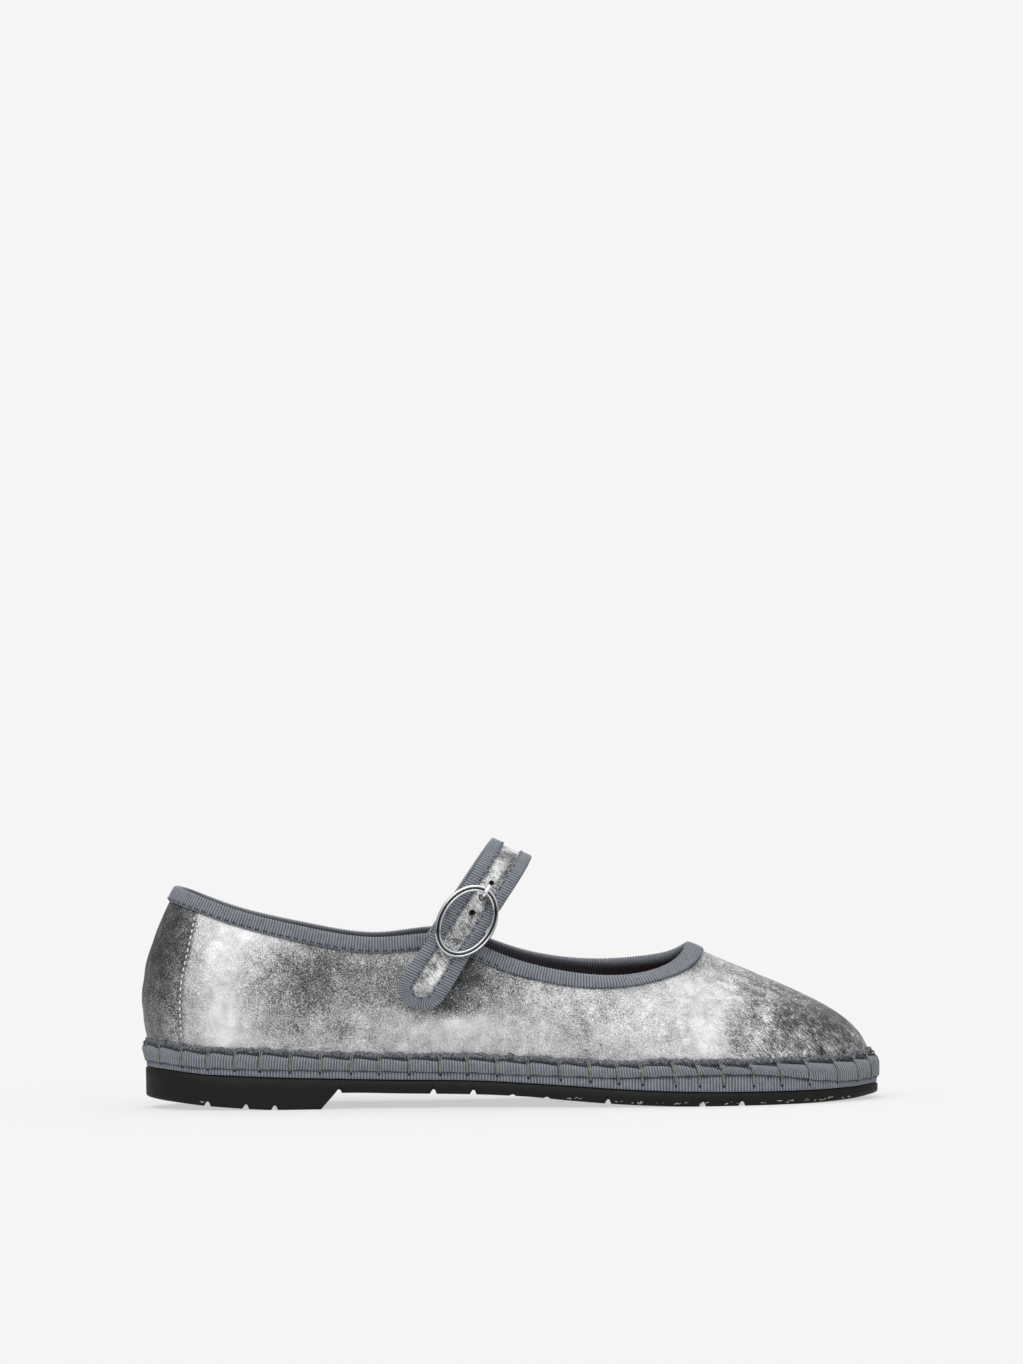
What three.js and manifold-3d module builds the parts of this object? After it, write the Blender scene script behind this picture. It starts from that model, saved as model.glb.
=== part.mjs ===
// Mary jane flat for the right foot: a hollow velvet upper lasted over a thin midsole, ribbon folded
// over its topline, a ribbon rand round its foot, an instep strap with an oval buckle, a rubber sole.
// Millimetres, +Z up, toe at +X, lateral side at -Y, the floor at z = 0.
import * as THREE from 'three';
import { mergeVertices } from 'three/addons/utils/BufferGeometryUtils.js';
import Module from 'manifold-3d';

const wasm = await Module();
wasm.setup();

// Driving sizes
const shoeLength = 256;
const ballWidth = 84;
const collarHeight = 77;
const wallThickness = 2;
const clearance = 0.3;

// Sole sizes
const seatHeight = 14.2;
const heelRise = 5.6;
const breastAlong = 0.253;
const breastSlant = 5;
const grooveWidth = 2;
const grooveDepth = 1.7;
const midsoleThickness = 3.8;
const insoleThickness = 2.6;
const randThickness = 2.6;
const randHeight = 5.6;

// Ribbon, strap and buckle sizes
const ribbonThickness = 0.8;
const collarRibbonWidth = 4.5;
const strapRibbonWidth = 4.6;
const strapWidth = 15.4;
const strapThickness = 1.4;
const strapLean = 34;
const strapTilt = 26;
const strapRise = 27.4;
const buckleAlong = 0.4435;
const ringStand = 5.4;
const tipReach = 35.4;
const seamReach = 24;
const tabReach = 16;
const holePitch = 6.35;
const holeWidth = 2.4;
const buckleLength = 27;
const wireThickness = 2.2;
const barThickness = 1.8;
const prongThickness = 1.6;
const tabWidth = 11;
const tabThickness = 1;

// Sections round the last, from the heel over the lateral side and the toe to the medial side.
// Along is a share of the length, across and the two leans of the ball width, heights of the collar
// height. Lean and rise shape the wall above the feather line, reach, top lean and drop below the
// topline, where reach is a share of the way in plan from the topline to the feather line.
const sectionColumns = [
  'along', 'across', 'topAlong', 'topAcross', 'topHeight', 'lean', 'rise', 'reach', 'topLean', 'drop',
];
const sections = [
  ['heel back', 0.016, 0, 0.05, 0, 0.982, 0.063, 0.217, 0, 0.181, 0.375],
  ['heel lateral', 0.047, -0.202, 0.07, -0.155, 0.961, 0.062, 0.214, 0, 0.162, 0.351],
  ['heel side lateral', 0.117, -0.31, 0.127, -0.242, 0.89, 0.06, 0.208, 0, 0.114, 0.299],
  ['seat lateral', 0.227, -0.327, 0.227, -0.301, 0.805, 0.054, 0.208, 0, 0.065, 0.234],
  ['waist lateral', 0.344, -0.315, 0.328, -0.321, 0.758, 0.048, 0.182, 0, 0.042, 0.195],
  ['ear lateral', 0.445, -0.339, 0.414, -0.331, 0.771, 0.036, 0.175, 0.05, 0.042, 0.195],
  ['instep lateral', 0.555, -0.393, 0.492, -0.333, 0.674, 0.03, 0.169, 0.2, 0.048, 0.156],
  ['ball lateral', 0.688, -0.458, 0.609, -0.312, 0.579, 0.024, 0.169, 0.35, 0.042, 0.11],
  ['front lateral', 0.816, -0.438, 0.689, -0.226, 0.586, 0.014, 0.182, 0.5, 0.024, 0.104],
  ['toe corner lateral', 0.914, -0.304, 0.727, -0.119, 0.634, 0.012, 0.223, 0.58, 0.012, 0.166],
  ['toe lateral', 0.967, -0.137, 0.741, -0.036, 0.679, 0.012, 0.247, 0.64, 0.004, 0.213],
  ['toe tip', 0.988, 0.048, 0.744, 0.048, 0.699, 0.017, 0.262, 0.665, 0, 0.242],
  ['toe medial', 0.969, 0.226, 0.74, 0.131, 0.69, 0.012, 0.247, 0.64, 0.004, 0.226],
  ['toe corner medial', 0.916, 0.369, 0.723, 0.218, 0.657, 0.012, 0.223, 0.58, 0.012, 0.166],
  ['ball medial', 0.805, 0.47, 0.676, 0.298, 0.625, 0.018, 0.195, 0.45, 0.03, 0.13],
  ['joint medial', 0.684, 0.464, 0.605, 0.337, 0.616, 0.018, 0.182, 0.3, 0.036, 0.13],
  ['instep medial', 0.551, 0.363, 0.5, 0.333, 0.681, 0.03, 0.169, 0.2, 0.042, 0.156],
  ['ear medial', 0.445, 0.286, 0.414, 0.319, 0.769, 0.048, 0.182, 0.05, 0.036, 0.182],
  ['waist medial', 0.344, 0.271, 0.328, 0.305, 0.748, 0.054, 0.195, 0, 0.036, 0.195],
  ['seat medial', 0.227, 0.286, 0.227, 0.286, 0.795, 0.06, 0.208, 0, 0.065, 0.234],
  ['heel side medial', 0.117, 0.298, 0.127, 0.236, 0.881, 0.06, 0.208, 0, 0.114, 0.299],
  ['heel medial', 0.047, 0.196, 0.07, 0.15, 0.958, 0.062, 0.214, 0, 0.162, 0.351],
];

// Side profile of the rubber: along, height of its top and of its tread as shares of the seat height
const soleRows = [
  [0.0, 1.0, 0.28],
  [0.03, 0.97, 0.22],
  [0.055, 0.92, 0.17],
  [0.085, 0.86, 0.11],
  [0.12, 0.83, 0.06],
  [0.155, 0.8, 0.02],
  [0.18, 0.78, 0],
  [0.24, 0.74, 0],
  [0.35, 0.68, 0],
  [0.45, 0.65, 0],
  [0.52, 0.58, 0],
  [0.58, 0.51, 0],
  [0.66, 0.41, 0],
  [0.74, 0.345, 0],
  [0.84, 0.315, 0],
  [0.9, 0.31, 0.008],
  [0.96, 0.33, 0.055],
  [1.0, 0.37, 0.135],
];

// Height of the arch under the waist: along, and a share of the heel rise
const archRows = [
  [0.0, 1.0],
  [0.28, 1.0],
  [0.35, 0.92],
  [0.45, 0.83],
  [0.52, 0.68],
  [0.58, 0.42],
  [0.64, 0.2],
  [0.7, 0.06],
  [0.75, 0],
  [1.0, 0],
];

// Grooves across the tread that show as notches in its edge: along, and a share of the groove depth
const grooves = [
  [0.09, 1],
  [0.142, 1],
  [0.181, 1],
  [0.268, 0.8],
  [0.396, 1],
  [0.45, 1],
  [0.503, 0.35],
  [0.549, 0.35],
  [0.632, 1],
  [0.76, 1],
  [0.813, 1],
];

// Strap in the plane of its slant. Where it lies on the lateral quarter: share of the reach from the
// ring to the free end, and how far it climbs over the collar ribbon.
const lateralFolds = [
  [1, 0],
  [0.8, 0.2],
  [0.6, 0.5],
  [0.4, 0.9],
  [0.2, 1],
];

// Where it stands free: height as a share of the strap's rise over the ring, and spread from -1 at
// the lateral quarter to 1 at the medial one.
const archFolds = [
  [0.04, -0.98],
  [0.26, -0.94],
  [0.48, -0.88],
  [0.68, -0.77],
  [0.85, -0.58],
  [0.96, -0.3],
  [1, 0],
  [0.96, 0.3],
  [0.85, 0.57],
  [0.65, 0.79],
  [0.4, 0.92],
  [0.12, 0.985],
];

// Where it runs down inside the medial quarter, as shares of the reach from the ring to its seam,
// and the tab inside the lateral quarter, as shares of its own reach.
const medialFolds = [0.2, 0.45, 0.7, 1];
const tabFolds = [0.24, 0.5, 0.75, 1];

const ringCount = 72;
const probe = 1e-4;

const point = (x, y, z) => new THREE.Vector3(x, y, z);
const toX = (along) => (along - 0.5) * shoeLength;
const toAlong = (x) => x / shoeLength + 0.5;
const wrap = (value, period) => ((value % period) + period) % period;

// Closed smooth curve through values at knots, evenly bent
function spline(knots, values, period) {
  const count = knots.length;
  const last = count - 1;
  const step = (i) => (i === last ? knots[0] + period - knots[last] : knots[i + 1] - knots[i]);
  const grade = (i) => (values[(i + 1) % count] - values[i]) / step(i);
  const slopes = values.map((value, i) => grade(i));
  for (let pass = 0; pass < 60; pass += 1) {
    for (let i = 0; i < count; i += 1) {
      const before = (i + count - 1) % count;
      const after = (i + 1) % count;
      const a = 1 / step(before);
      const b = 1 / step(i);
      const pull = 3 * (a * grade(before) + b * grade(i));
      slopes[i] = (pull - a * slopes[before] - b * slopes[after]) / (2 * (a + b));
    }
  }
  return (place) => {
    const at = wrap(place, period);
    let i = 0;
    while (i < last && at >= knots[i + 1]) i += 1;
    const h = step(i);
    const t = (at - knots[i]) / h;
    const next = (i + 1) % count;
    const bend = values[i] * (1 + 2 * t) * (1 - t) ** 2 + values[next] * t * t * (3 - 2 * t);
    return bend + h * (slopes[i] * t * (1 - t) ** 2 - slopes[next] * t * t * (1 - t));
  };
}

// Smooth profile through rows of place and height, level wherever two rows are
function profile(rows, column) {
  const last = rows.length - 1;
  const grade = (i) => (rows[i + 1][column] - rows[i][column]) / (rows[i + 1][0] - rows[i][0]);
  const slopes = rows.map((row, i) => {
    if (i === 0 || i === last) return 0;
    const [before, after] = [grade(i - 1), grade(i)];
    return before * after > 0 ? (2 * before * after) / (before + after) : 0;
  });
  return (place) => {
    const at = Math.min(Math.max(place, 0), 1);
    let i = 0;
    while (i < last - 1 && at >= rows[i + 1][0]) i += 1;
    const h = rows[i + 1][0] - rows[i][0];
    const t = (at - rows[i][0]) / h;
    const bend = rows[i][column] * (1 + 2 * t) * (1 - t) ** 2 + rows[i + 1][column] * t * t * (3 - 2 * t);
    return bend + h * (slopes[i] * t * (1 - t) ** 2 - slopes[i + 1] * t * t * (1 - t));
  };
}

// The section table as closed curves over the girth of the feather line
const girthKnots = [0];
sections.forEach((row, i) => {
  const next = sections[(i + 1) % sections.length];
  const chord = Math.hypot((next[1] - row[1]) * shoeLength, (next[2] - row[2]) * ballWidth);
  girthKnots.push(girthKnots[i] + chord);
});
const girth = girthKnots.pop();
const sectionCurve = {};
sectionColumns.forEach((name, k) => {
  sectionCurve[name] = spline(girthKnots, sections.map((row) => row[k + 1]), girth);
});

const soleTop = profile(soleRows, 1);
const soleTread = profile(soleRows, 2);
const archCurve = profile(archRows, 1);
const rubberTopAt = (x) => soleTop(toAlong(x)) * seatHeight;
const treadAt = (x) => soleTread(toAlong(x)) * seatHeight;
const archAt = (x) => archCurve(toAlong(x)) * heelRise;
const footAt = (x) => rubberTopAt(x) + midsoleThickness + 2 * clearance;

// Feather line, where the upper meets the midsole, and its outward direction in plan
function feather(u) {
  const at = u * girth;
  const x = toX(sectionCurve.along(at));
  return point(x, sectionCurve.across(at) * ballWidth, footAt(x));
}

function outward(u) {
  const ahead = feather(u + probe);
  const back = feather(u - probe);
  return point(ahead.y - back.y, back.x - ahead.x, 0).normalize();
}

// One strip of the upper's outer face, from the feather line up to the topline
const strips = new Map();
function strip(u) {
  const key = wrap(u, 1);
  if (!strips.has(key)) {
    const at = key * girth;
    const value = (name) => sectionCurve[name](at);
    const out = outward(key);
    const low = feather(key);
    const high = point(toX(value('topAlong')), value('topAcross') * ballWidth, value('topHeight') * collarHeight);
    const lower = low.clone().addScaledVector(out, value('lean') * ballWidth);
    lower.z += value('rise') * collarHeight;
    const upper = high.clone().addScaledVector(out, value('topLean') * ballWidth);
    upper.x += (low.x - high.x) * value('reach');
    upper.y += (low.y - high.y) * value('reach');
    upper.z -= value('drop') * collarHeight;
    strips.set(key, new THREE.CubicBezierCurve3(low, lower, upper, high));
  }
  return strips.get(key);
}

function wallNormal(u, v) {
  const up = Math.min(v + probe, 1);
  const across = strip(u + probe).getPoint(v).sub(strip(u - probe).getPoint(v));
  const along = strip(u).getPoint(up).sub(strip(u).getPoint(up - 2 * probe));
  return across.cross(along).normalize();
}

const wallPoint = (u, v, out) => strip(u).getPoint(v).addScaledVector(wallNormal(u, v), out);

// Share of a strip that lies a given distance below the topline, or above the feather line
function belowTop(u, distance) {
  let share = 0.9;
  for (let pass = 0; pass < 6; pass += 1) {
    const reached = strip(u).getPoint(share).distanceTo(strip(u).v3);
    share = 1 - ((1 - share) * distance) / reached;
  }
  return share;
}

function aboveFoot(u, height) {
  let share = 0.1;
  for (let pass = 0; pass < 8; pass += 1) {
    const reached = strip(u).getPoint(share).z - strip(u).v0.z;
    share *= height / reached;
  }
  return share;
}

// Closed solids from loops of points; ends are joined to each other or capped
function solidFrom(loops, closed, cap = foldedCap) {
  const size = loops[0].length;
  const positions = loops.flat().flatMap((p) => [p.x, p.y, p.z]);
  const index = [];
  const spans = closed ? loops.length : loops.length - 1;
  for (let i = 0; i < spans; i += 1) {
    const here = i * size;
    const there = ((i + 1) % loops.length) * size;
    for (let j = 0; j < size; j += 1) {
      const k = (j + 1) % size;
      index.push(here + j, here + k, there + k, here + j, there + k, there + j);
    }
  }
  if (!closed) {
    const far = (loops.length - 1) * size;
    for (const corners of cap(size)) {
      index.push(...[...corners].reverse());
      index.push(...corners.map((corner) => corner + far));
    }
  }
  return orient(positions, index);
}

// Triangles that close a loop by pairing each point with its mirror across the first one
function foldedCap(size) {
  const half = Math.floor(size / 2);
  const triangles = [[0, 1, size - 1]];
  for (let i = 1; i < half; i += 1) {
    const mirror = size - i;
    triangles.push([i, i + 1, mirror]);
    if (i + 1 < mirror - 1) triangles.push([i + 1, mirror - 1, mirror]);
  }
  return triangles;
}

// The end of a folded ribbon: two legs of four corners each, joined at the fold
function channelCap() {
  return [
    [0, 1, 4], [1, 2, 3], [1, 3, 4], [0, 4, 5], [0, 5, 9], [5, 8, 9], [5, 6, 8], [6, 7, 8],
  ];
}

// Turns every face outward, from the sign of the enclosed volume
function orient(positions, index) {
  const corner = (i) => new THREE.Vector3().fromArray(positions, index[i] * 3);
  let volume = 0;
  for (let i = 0; i < index.length; i += 3) {
    volume += corner(i).dot(corner(i + 1).cross(corner(i + 2)));
  }
  if (volume < 0) index.reverse();
  const geometry = new THREE.BufferGeometry();
  geometry.setAttribute('position', new THREE.Float32BufferAttribute(positions, 3));
  geometry.setIndex(index);
  return geometry;
}

function manifoldOf(geometry) {
  const bare = geometry.clone();
  bare.deleteAttribute('normal');
  bare.deleteAttribute('uv');
  const merged = mergeVertices(bare, 1e-5);
  const vertProperties = new Float32Array(merged.attributes.position.array);
  const triVerts = new Uint32Array(merged.index.array);
  return new wasm.Manifold(new wasm.Mesh({ numProp: 3, vertProperties, triVerts }));
}

function geometryOf(manifold) {
  const mesh = manifold.getMesh();
  const geometry = new THREE.BufferGeometry();
  geometry.setAttribute('position', new THREE.Float32BufferAttribute(Array.from(mesh.vertProperties), 3));
  geometry.setIndex(Array.from(mesh.triVerts));
  return geometry;
}

const rounds = (count) => Array.from({ length: count }, (unused, i) => i / count);
const uValues = rounds(ringCount);

function polygon(radius, sides) {
  return rounds(sides).map((turn) => {
    const angle = turn * 2 * Math.PI;
    return new THREE.Vector2(radius * Math.cos(angle), radius * Math.sin(angle));
  });
}

// Sole pieces: loops at a distance outside the feather line, with a height that follows the length
function plate(rows) {
  const loops = rows.map(([out, height]) => uValues.map((u) => {
    const edge = feather(u).addScaledVector(outward(u), out);
    edge.z = height(edge.x);
    return edge;
  }));
  return solidFrom(loops, false);
}

const randStand = randThickness + clearance;
const midsoleEdge = randStand - 0.25 * randThickness;
const rubberEdge = randStand - 0.12 * randThickness;
const treadRound = 0.9;

function outsole() {
  const sole = manifoldOf(plate([
    [rubberEdge - treadRound, (x) => archAt(x) + treadAt(x)],
    [rubberEdge, (x) => archAt(x) + treadAt(x) + treadRound],
    [rubberEdge, rubberTopAt],
  ]));
  const heelForm = manifoldOf(plate([
    [rubberEdge - treadRound, treadAt],
    [rubberEdge, (x) => treadAt(x) + treadRound],
    [rubberEdge, (x) => archAt(x) + treadAt(x) + 1.5 * treadRound],
  ]));
  const breast = toX(breastAlong);
  const side = new THREE.Shape([
    new THREE.Vector2(-shoeLength, -heelRise),
    new THREE.Vector2(breast - breastSlant, -heelRise),
    new THREE.Vector2(breast - breastSlant / 2, 0),
    new THREE.Vector2(breast + breastSlant / 2, heelRise + 2 * treadRound),
    new THREE.Vector2(-shoeLength, heelRise + 2 * treadRound),
  ]);
  const cutter = new THREE.ExtrudeGeometry(side, { depth: 2 * ballWidth, bevelEnabled: false });
  cutter.rotateX(Math.PI / 2).translate(0, ballWidth, 0);
  let body = sole.add(heelForm.intersect(manifoldOf(cutter)));
  for (const [along, share] of grooves) {
    const x = toX(along);
    const floor = along < breastAlong ? treadAt(x) : archAt(x) + treadAt(x);
    const groove = new THREE.BoxGeometry(grooveWidth, 2 * ballWidth, 2 * heelRise);
    groove.translate(x, 0, floor + share * grooveDepth - heelRise);
    body = body.subtract(manifoldOf(groove));
  }
  return geometryOf(body);
}

function midsole() {
  const base = (x) => rubberTopAt(x) + clearance;
  const top = (x) => base(x) + midsoleThickness;
  return plate([
    [midsoleEdge - 0.1 * midsoleThickness, base],
    [midsoleEdge, (x) => base(x) + 0.3 * midsoleThickness],
    [midsoleEdge, (x) => base(x) + 0.75 * midsoleThickness],
    [midsoleEdge - 0.12 * midsoleThickness, top],
  ]);
}

function insole() {
  const edge = -(wallThickness + 2 * clearance);
  return plate([
    [edge, footAt],
    [edge, (x) => footAt(x) + insoleThickness],
  ]);
}

// Rand: a rolled ribbon that hugs the foot of the upper above the rim of the midsole
function rand() {
  const roll = [[0.02, 0.6], [0.16, 0.92], [0.45, 1], [0.75, 0.8], [0.97, 0.42], [1, 0.1]];
  return solidFrom(uValues.map((u) => {
    const out = outward(u);
    const foot = feather(u);
    const face = (height) => wallPoint(u, aboveFoot(u, height), clearance);
    const outer = roll.map(([share, reach]) => {
      const height = Math.max(share * randHeight, 0.01);
      const base = face(height);
      base.z = foot.z + share * randHeight;
      return base.addScaledVector(out, reach * randThickness);
    });
    const inner = [1, 0.5, 0.02].map((share) => {
      const base = face(share * randHeight);
      base.z = foot.z + share * randHeight;
      return base;
    });
    return [...outer, ...inner];
  }), true);
}

// Upper: outer face from the feather line to the topline, then the lining side back down
function upper() {
  const outerShares = [0, 0.06, 0.14, 0.24, 0.35, 0.47, 0.59, 0.71, 0.82, 0.92, 1];
  const innerShares = [1, 0.86, 0.7, 0.54, 0.38, 0.24, 0.12];
  return solidFrom(uValues.map((u) => {
    const outer = outerShares.map((v) => wallPoint(u, v, 0));
    const inner = innerShares.map((v) => wallPoint(u, v, -wallThickness));
    const sill = feather(u).addScaledVector(outward(u), -wallThickness);
    return [...outer, ...inner, sill];
  }), true);
}

// Ribbon folded over the topline, as a channel that stands clear of the wall on three sides
function collarBinding() {
  const near = clearance;
  const far = clearance + ribbonThickness;
  return solidFrom(uValues.map((u) => {
    const edge = belowTop(u, collarRibbonWidth);
    const rise = strip(u).getPoint(1).sub(strip(u).getPoint(1 - probe)).normalize();
    const crown = (out, over) => wallPoint(u, 1, out).addScaledVector(rise, over);
    return [
      wallPoint(u, edge, near),
      wallPoint(u, edge, far),
      crown(0.8 * far, 0.75 * far),
      crown(-wallThickness / 2, far),
      crown(-wallThickness - 0.8 * far, 0.75 * far),
      wallPoint(u, edge, -wallThickness - far),
      wallPoint(u, edge, -wallThickness - near),
      crown(-wallThickness - near, near),
      crown(near, near),
    ];
  }), true);
}

// Strap frame: the strap lies across a slanted plane that holds the Y axis
const lean = THREE.MathUtils.degToRad(strapLean);
const tilt = THREE.MathUtils.degToRad(strapTilt);
const strapUp = point(Math.sin(lean), 0, Math.cos(lean));
const strapAcross = point(Math.cos(tilt), 0, -Math.sin(tilt));
const earRow = sections.find(([name]) => name === 'ear lateral');
const buckleHeight = earRow[sectionColumns.indexOf('topHeight') + 1] * collarHeight + ringStand;
const strapHalf = strapWidth / 2;
const coreFace = strapThickness / 2;
const ribbonInside = coreFace + clearance;
const strapFace = ribbonInside + ribbonThickness;
const overCollar = ribbonThickness + clearance;
const standOff = 1.5 * clearance;
const strapPlace = (height, b) => {
  return point(toX(buckleAlong), 0, buckleHeight).addScaledVector(strapUp, height)
    .addScaledVector(strapAcross, b);
};

// Y of the upper's outer face on one side, lateral -1 or medial 1, at a place in side view
function quarterY(place, side) {
  let u = side < 0 ? 0.25 : 0.75;
  let v = 0.8;
  for (let pass = 0; pass < 20; pass += 1) {
    const here = strip(u).getPoint(v);
    const alongU = strip(u + probe).getPoint(v).sub(here).divideScalar(probe);
    const alongV = strip(u).getPoint(v + probe).sub(here).divideScalar(probe);
    const missX = place.x - here.x;
    const missZ = place.z - here.z;
    const det = alongU.x * alongV.z - alongV.x * alongU.z;
    u += (missX * alongV.z - missZ * alongV.x) / det;
    v += (missZ * alongU.x - missX * alongU.z) / det;
  }
  return strip(u).getPoint(v).y;
}

// Centre surface of the strap as lines along it, one for each distance b from its middle
const strapLines = new Map();
function strapLine(b) {
  if (!strapLines.has(b)) {
    const lateral = lateralFolds.map(([share, over]) => {
      const place = strapPlace(-share * tipReach, b);
      place.y = quarterY(place, -1) - standOff - strapFace - over * overCollar;
      return place;
    });
    const medial = medialFolds.map((share) => {
      const place = strapPlace(-share * seamReach, b);
      place.y = quarterY(place, 1) - wallThickness - overCollar - standOff - strapFace;
      return place;
    });
    const left = lateral[lateral.length - 1].y;
    const right = medial[0].y;
    const arch = archFolds.map(([height, spread]) => {
      const place = strapPlace(height * strapRise, b);
      place.y = (left + right) / 2 + (spread * (right - left)) / 2;
      return place;
    });
    strapLines.set(b, new THREE.CatmullRomCurve3([...lateral, ...arch, ...medial]));
  }
  return strapLines.get(b);
}

const middleLine = strapLine(0);
middleLine.arcLengthDivisions = 600;
const strapLength = middleLine.getLength();
const strapShare = (a) => middleLine.getUtoTmapping(Math.min(Math.max(a / strapLength, 0), 1));

function strapPoint(a, b, lift) {
  const t = strapShare(a);
  const side = strapHalf / 2;
  const low = Math.max(t - probe, 0);
  const along = strapLine(b).getPoint(low + 2 * probe).sub(strapLine(b).getPoint(low));
  const across = strapLine(side).getPoint(t).sub(strapLine(-side).getPoint(t));
  const normal = across.cross(along).normalize();
  return strapLine(b).getPoint(t).addScaledVector(normal, lift);
}

// Strap core: rows from the rounded free end to the seam, five points across on each face
function strapCore() {
  const half = strapHalf - ribbonThickness - clearance;
  const start = strapHalf - half;
  const rows = [15, 35, 55, 75].map((turn) => {
    const angle = THREE.MathUtils.degToRad(turn);
    return [start + half * (1 - Math.cos(angle)), half * Math.sin(angle)];
  });
  const straight = 28;
  for (let i = 0; i <= straight; i += 1) {
    const share = i / straight;
    rows.push([start + half + share * (strapLength - start - half), half]);
  }
  const spread = [-1, -0.5, 0, 0.5, 1];
  const body = manifoldOf(solidFrom(rows.map(([a, width]) => [
    ...spread.map((share) => strapPoint(a, share * width, coreFace)),
    ...[...spread].reverse().map((share) => strapPoint(a, share * width, -coreFace)),
  ]), false));
  return geometryOf(holes.reduce((rest, hole) => rest.subtract(hole), body));
}

// Ribbon folded over both edges of the strap and round its free end, one channel like a hairpin
function strapBinding() {
  const path = [];
  const straight = 26;
  const turns = 10;
  for (let i = 0; i <= straight; i += 1) {
    const a = strapLength + (i / straight) * (strapHalf - strapLength);
    path.push([a, -strapHalf, 0, 1]);
  }
  for (let i = 1; i < turns; i += 1) {
    const angle = (i / turns) * Math.PI;
    const [sin, cos] = [Math.sin(angle), Math.cos(angle)];
    path.push([strapHalf - strapHalf * sin, -strapHalf * cos, sin, cos]);
  }
  for (let i = 0; i <= straight; i += 1) {
    const a = strapHalf + (i / straight) * (strapLength - strapHalf);
    path.push([a, strapHalf, 0, -1]);
  }
  const channel = [
    [0, 0.6 * strapFace],
    [0.4 * ribbonThickness, strapFace],
    [strapRibbonWidth, strapFace],
    [strapRibbonWidth, ribbonInside],
    [ribbonThickness, ribbonInside],
    [ribbonThickness, -ribbonInside],
    [strapRibbonWidth, -ribbonInside],
    [strapRibbonWidth, -strapFace],
    [0.4 * ribbonThickness, -strapFace],
    [0, -0.6 * strapFace],
  ];
  return solidFrom(path.map(([a, b, inA, inB]) => channel.map(([reach, lift]) => (
    strapPoint(a + reach * inA, b + reach * inB, lift)
  ))), false, channelCap);
}

// Buckle frame: width across the strap, length along it, height off it
const ringPlace = tipReach;
const ringHeart = strapPoint(ringPlace, 0, 0);
const ringStep = wireThickness / 4;
const ringAbove = strapPoint(ringPlace + ringStep, 0, 0);
const ringBelow = strapPoint(ringPlace - ringStep, 0, 0);
const ringUp = ringAbove.sub(ringBelow).normalize();
const ringOut = strapAcross.clone().cross(ringUp).normalize();
const ringAcross = ringUp.clone().cross(ringOut).normalize();
const buckleMatrix = new THREE.Matrix4().makeBasis(ringAcross, ringUp, ringOut).setPosition(ringHeart);
const inBuckle = (p) => p.clone().applyMatrix4(buckleMatrix.clone().invert());

const wireRadius = wireThickness / 2;
const barRadius = barThickness / 2;
const prongRadius = prongThickness / 2;
const railReach = strapHalf + clearance + barRadius;
const rimReach = buckleLength / 2 - wireRadius;
const eyeInside = barRadius + clearance;
const eyeOutside = eyeInside + tabThickness;

// Heights of one face of the strap, seen from the buckle, within a reach along it
function strapHeights(reach, lift) {
  const places = [-1, -0.75, -0.5, -0.25, 0, 0.25, 0.5, 0.75, 1];
  return places.flatMap((share) => [-strapHalf, 0, strapHalf].map((b) => (
    inBuckle(strapPoint(ringPlace + share * reach, b, lift)).z
  )));
}
const barLift = Math.min(...strapHeights(eyeOutside, -strapFace)) - clearance - eyeOutside;
const ringLift = Math.max(...strapHeights(rimReach, strapFace)) + clearance + wireRadius;

function tube(path, radius, sides, steps) {
  const section = new THREE.Shape(polygon(radius, sides));
  const curve = new THREE.CatmullRomCurve3(path);
  return new THREE.ExtrudeGeometry(section, { steps, extrudePath: curve, bevelEnabled: false });
}

function rod(from, to, radius) {
  const direction = to.clone().sub(from);
  const rodShape = new THREE.CylinderGeometry(radius, radius, direction.length(), 12);
  const turn = new THREE.Quaternion().setFromUnitVectors(point(0, 1, 0), direction.clone().normalize());
  rodShape.applyQuaternion(turn);
  const middle = from.clone().add(to).multiplyScalar(0.5);
  rodShape.translate(middle.x, middle.y, middle.z);
  return manifoldOf(rodShape);
}

function buckleFrame() {
  const ring = solidFrom(rounds(36).map((turn) => {
    const angle = turn * 2 * Math.PI;
    const centre = point(railReach * Math.cos(angle), rimReach * Math.sin(angle), ringLift);
    const away = point(rimReach * Math.cos(angle), railReach * Math.sin(angle), 0).normalize();
    return polygon(wireRadius, 8).map(({ x, y }) => {
      return centre.clone().addScaledVector(away, x).add(point(0, 0, y));
    });
  }), true);
  let body = manifoldOf(ring);
  for (const side of [-1, 1]) {
    const head = point(side * railReach, 0, ringLift);
    const foot = point(side * railReach, 0, barLift - barRadius);
    body = body.add(rod(head, foot, barRadius));
  }
  const end = railReach + barRadius;
  body = body.add(rod(point(-end, 0, barLift), point(end, 0, barLift), barRadius));
  return geometryOf(body).applyMatrix4(buckleMatrix);
}

// Prong: an eye round the bar, a pin under the strap, up through its hole and over the ring
const holeReach = rimReach - wireRadius - 1.7 * clearance - prongRadius;
const prongEye = eyeInside + prongRadius;

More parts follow.
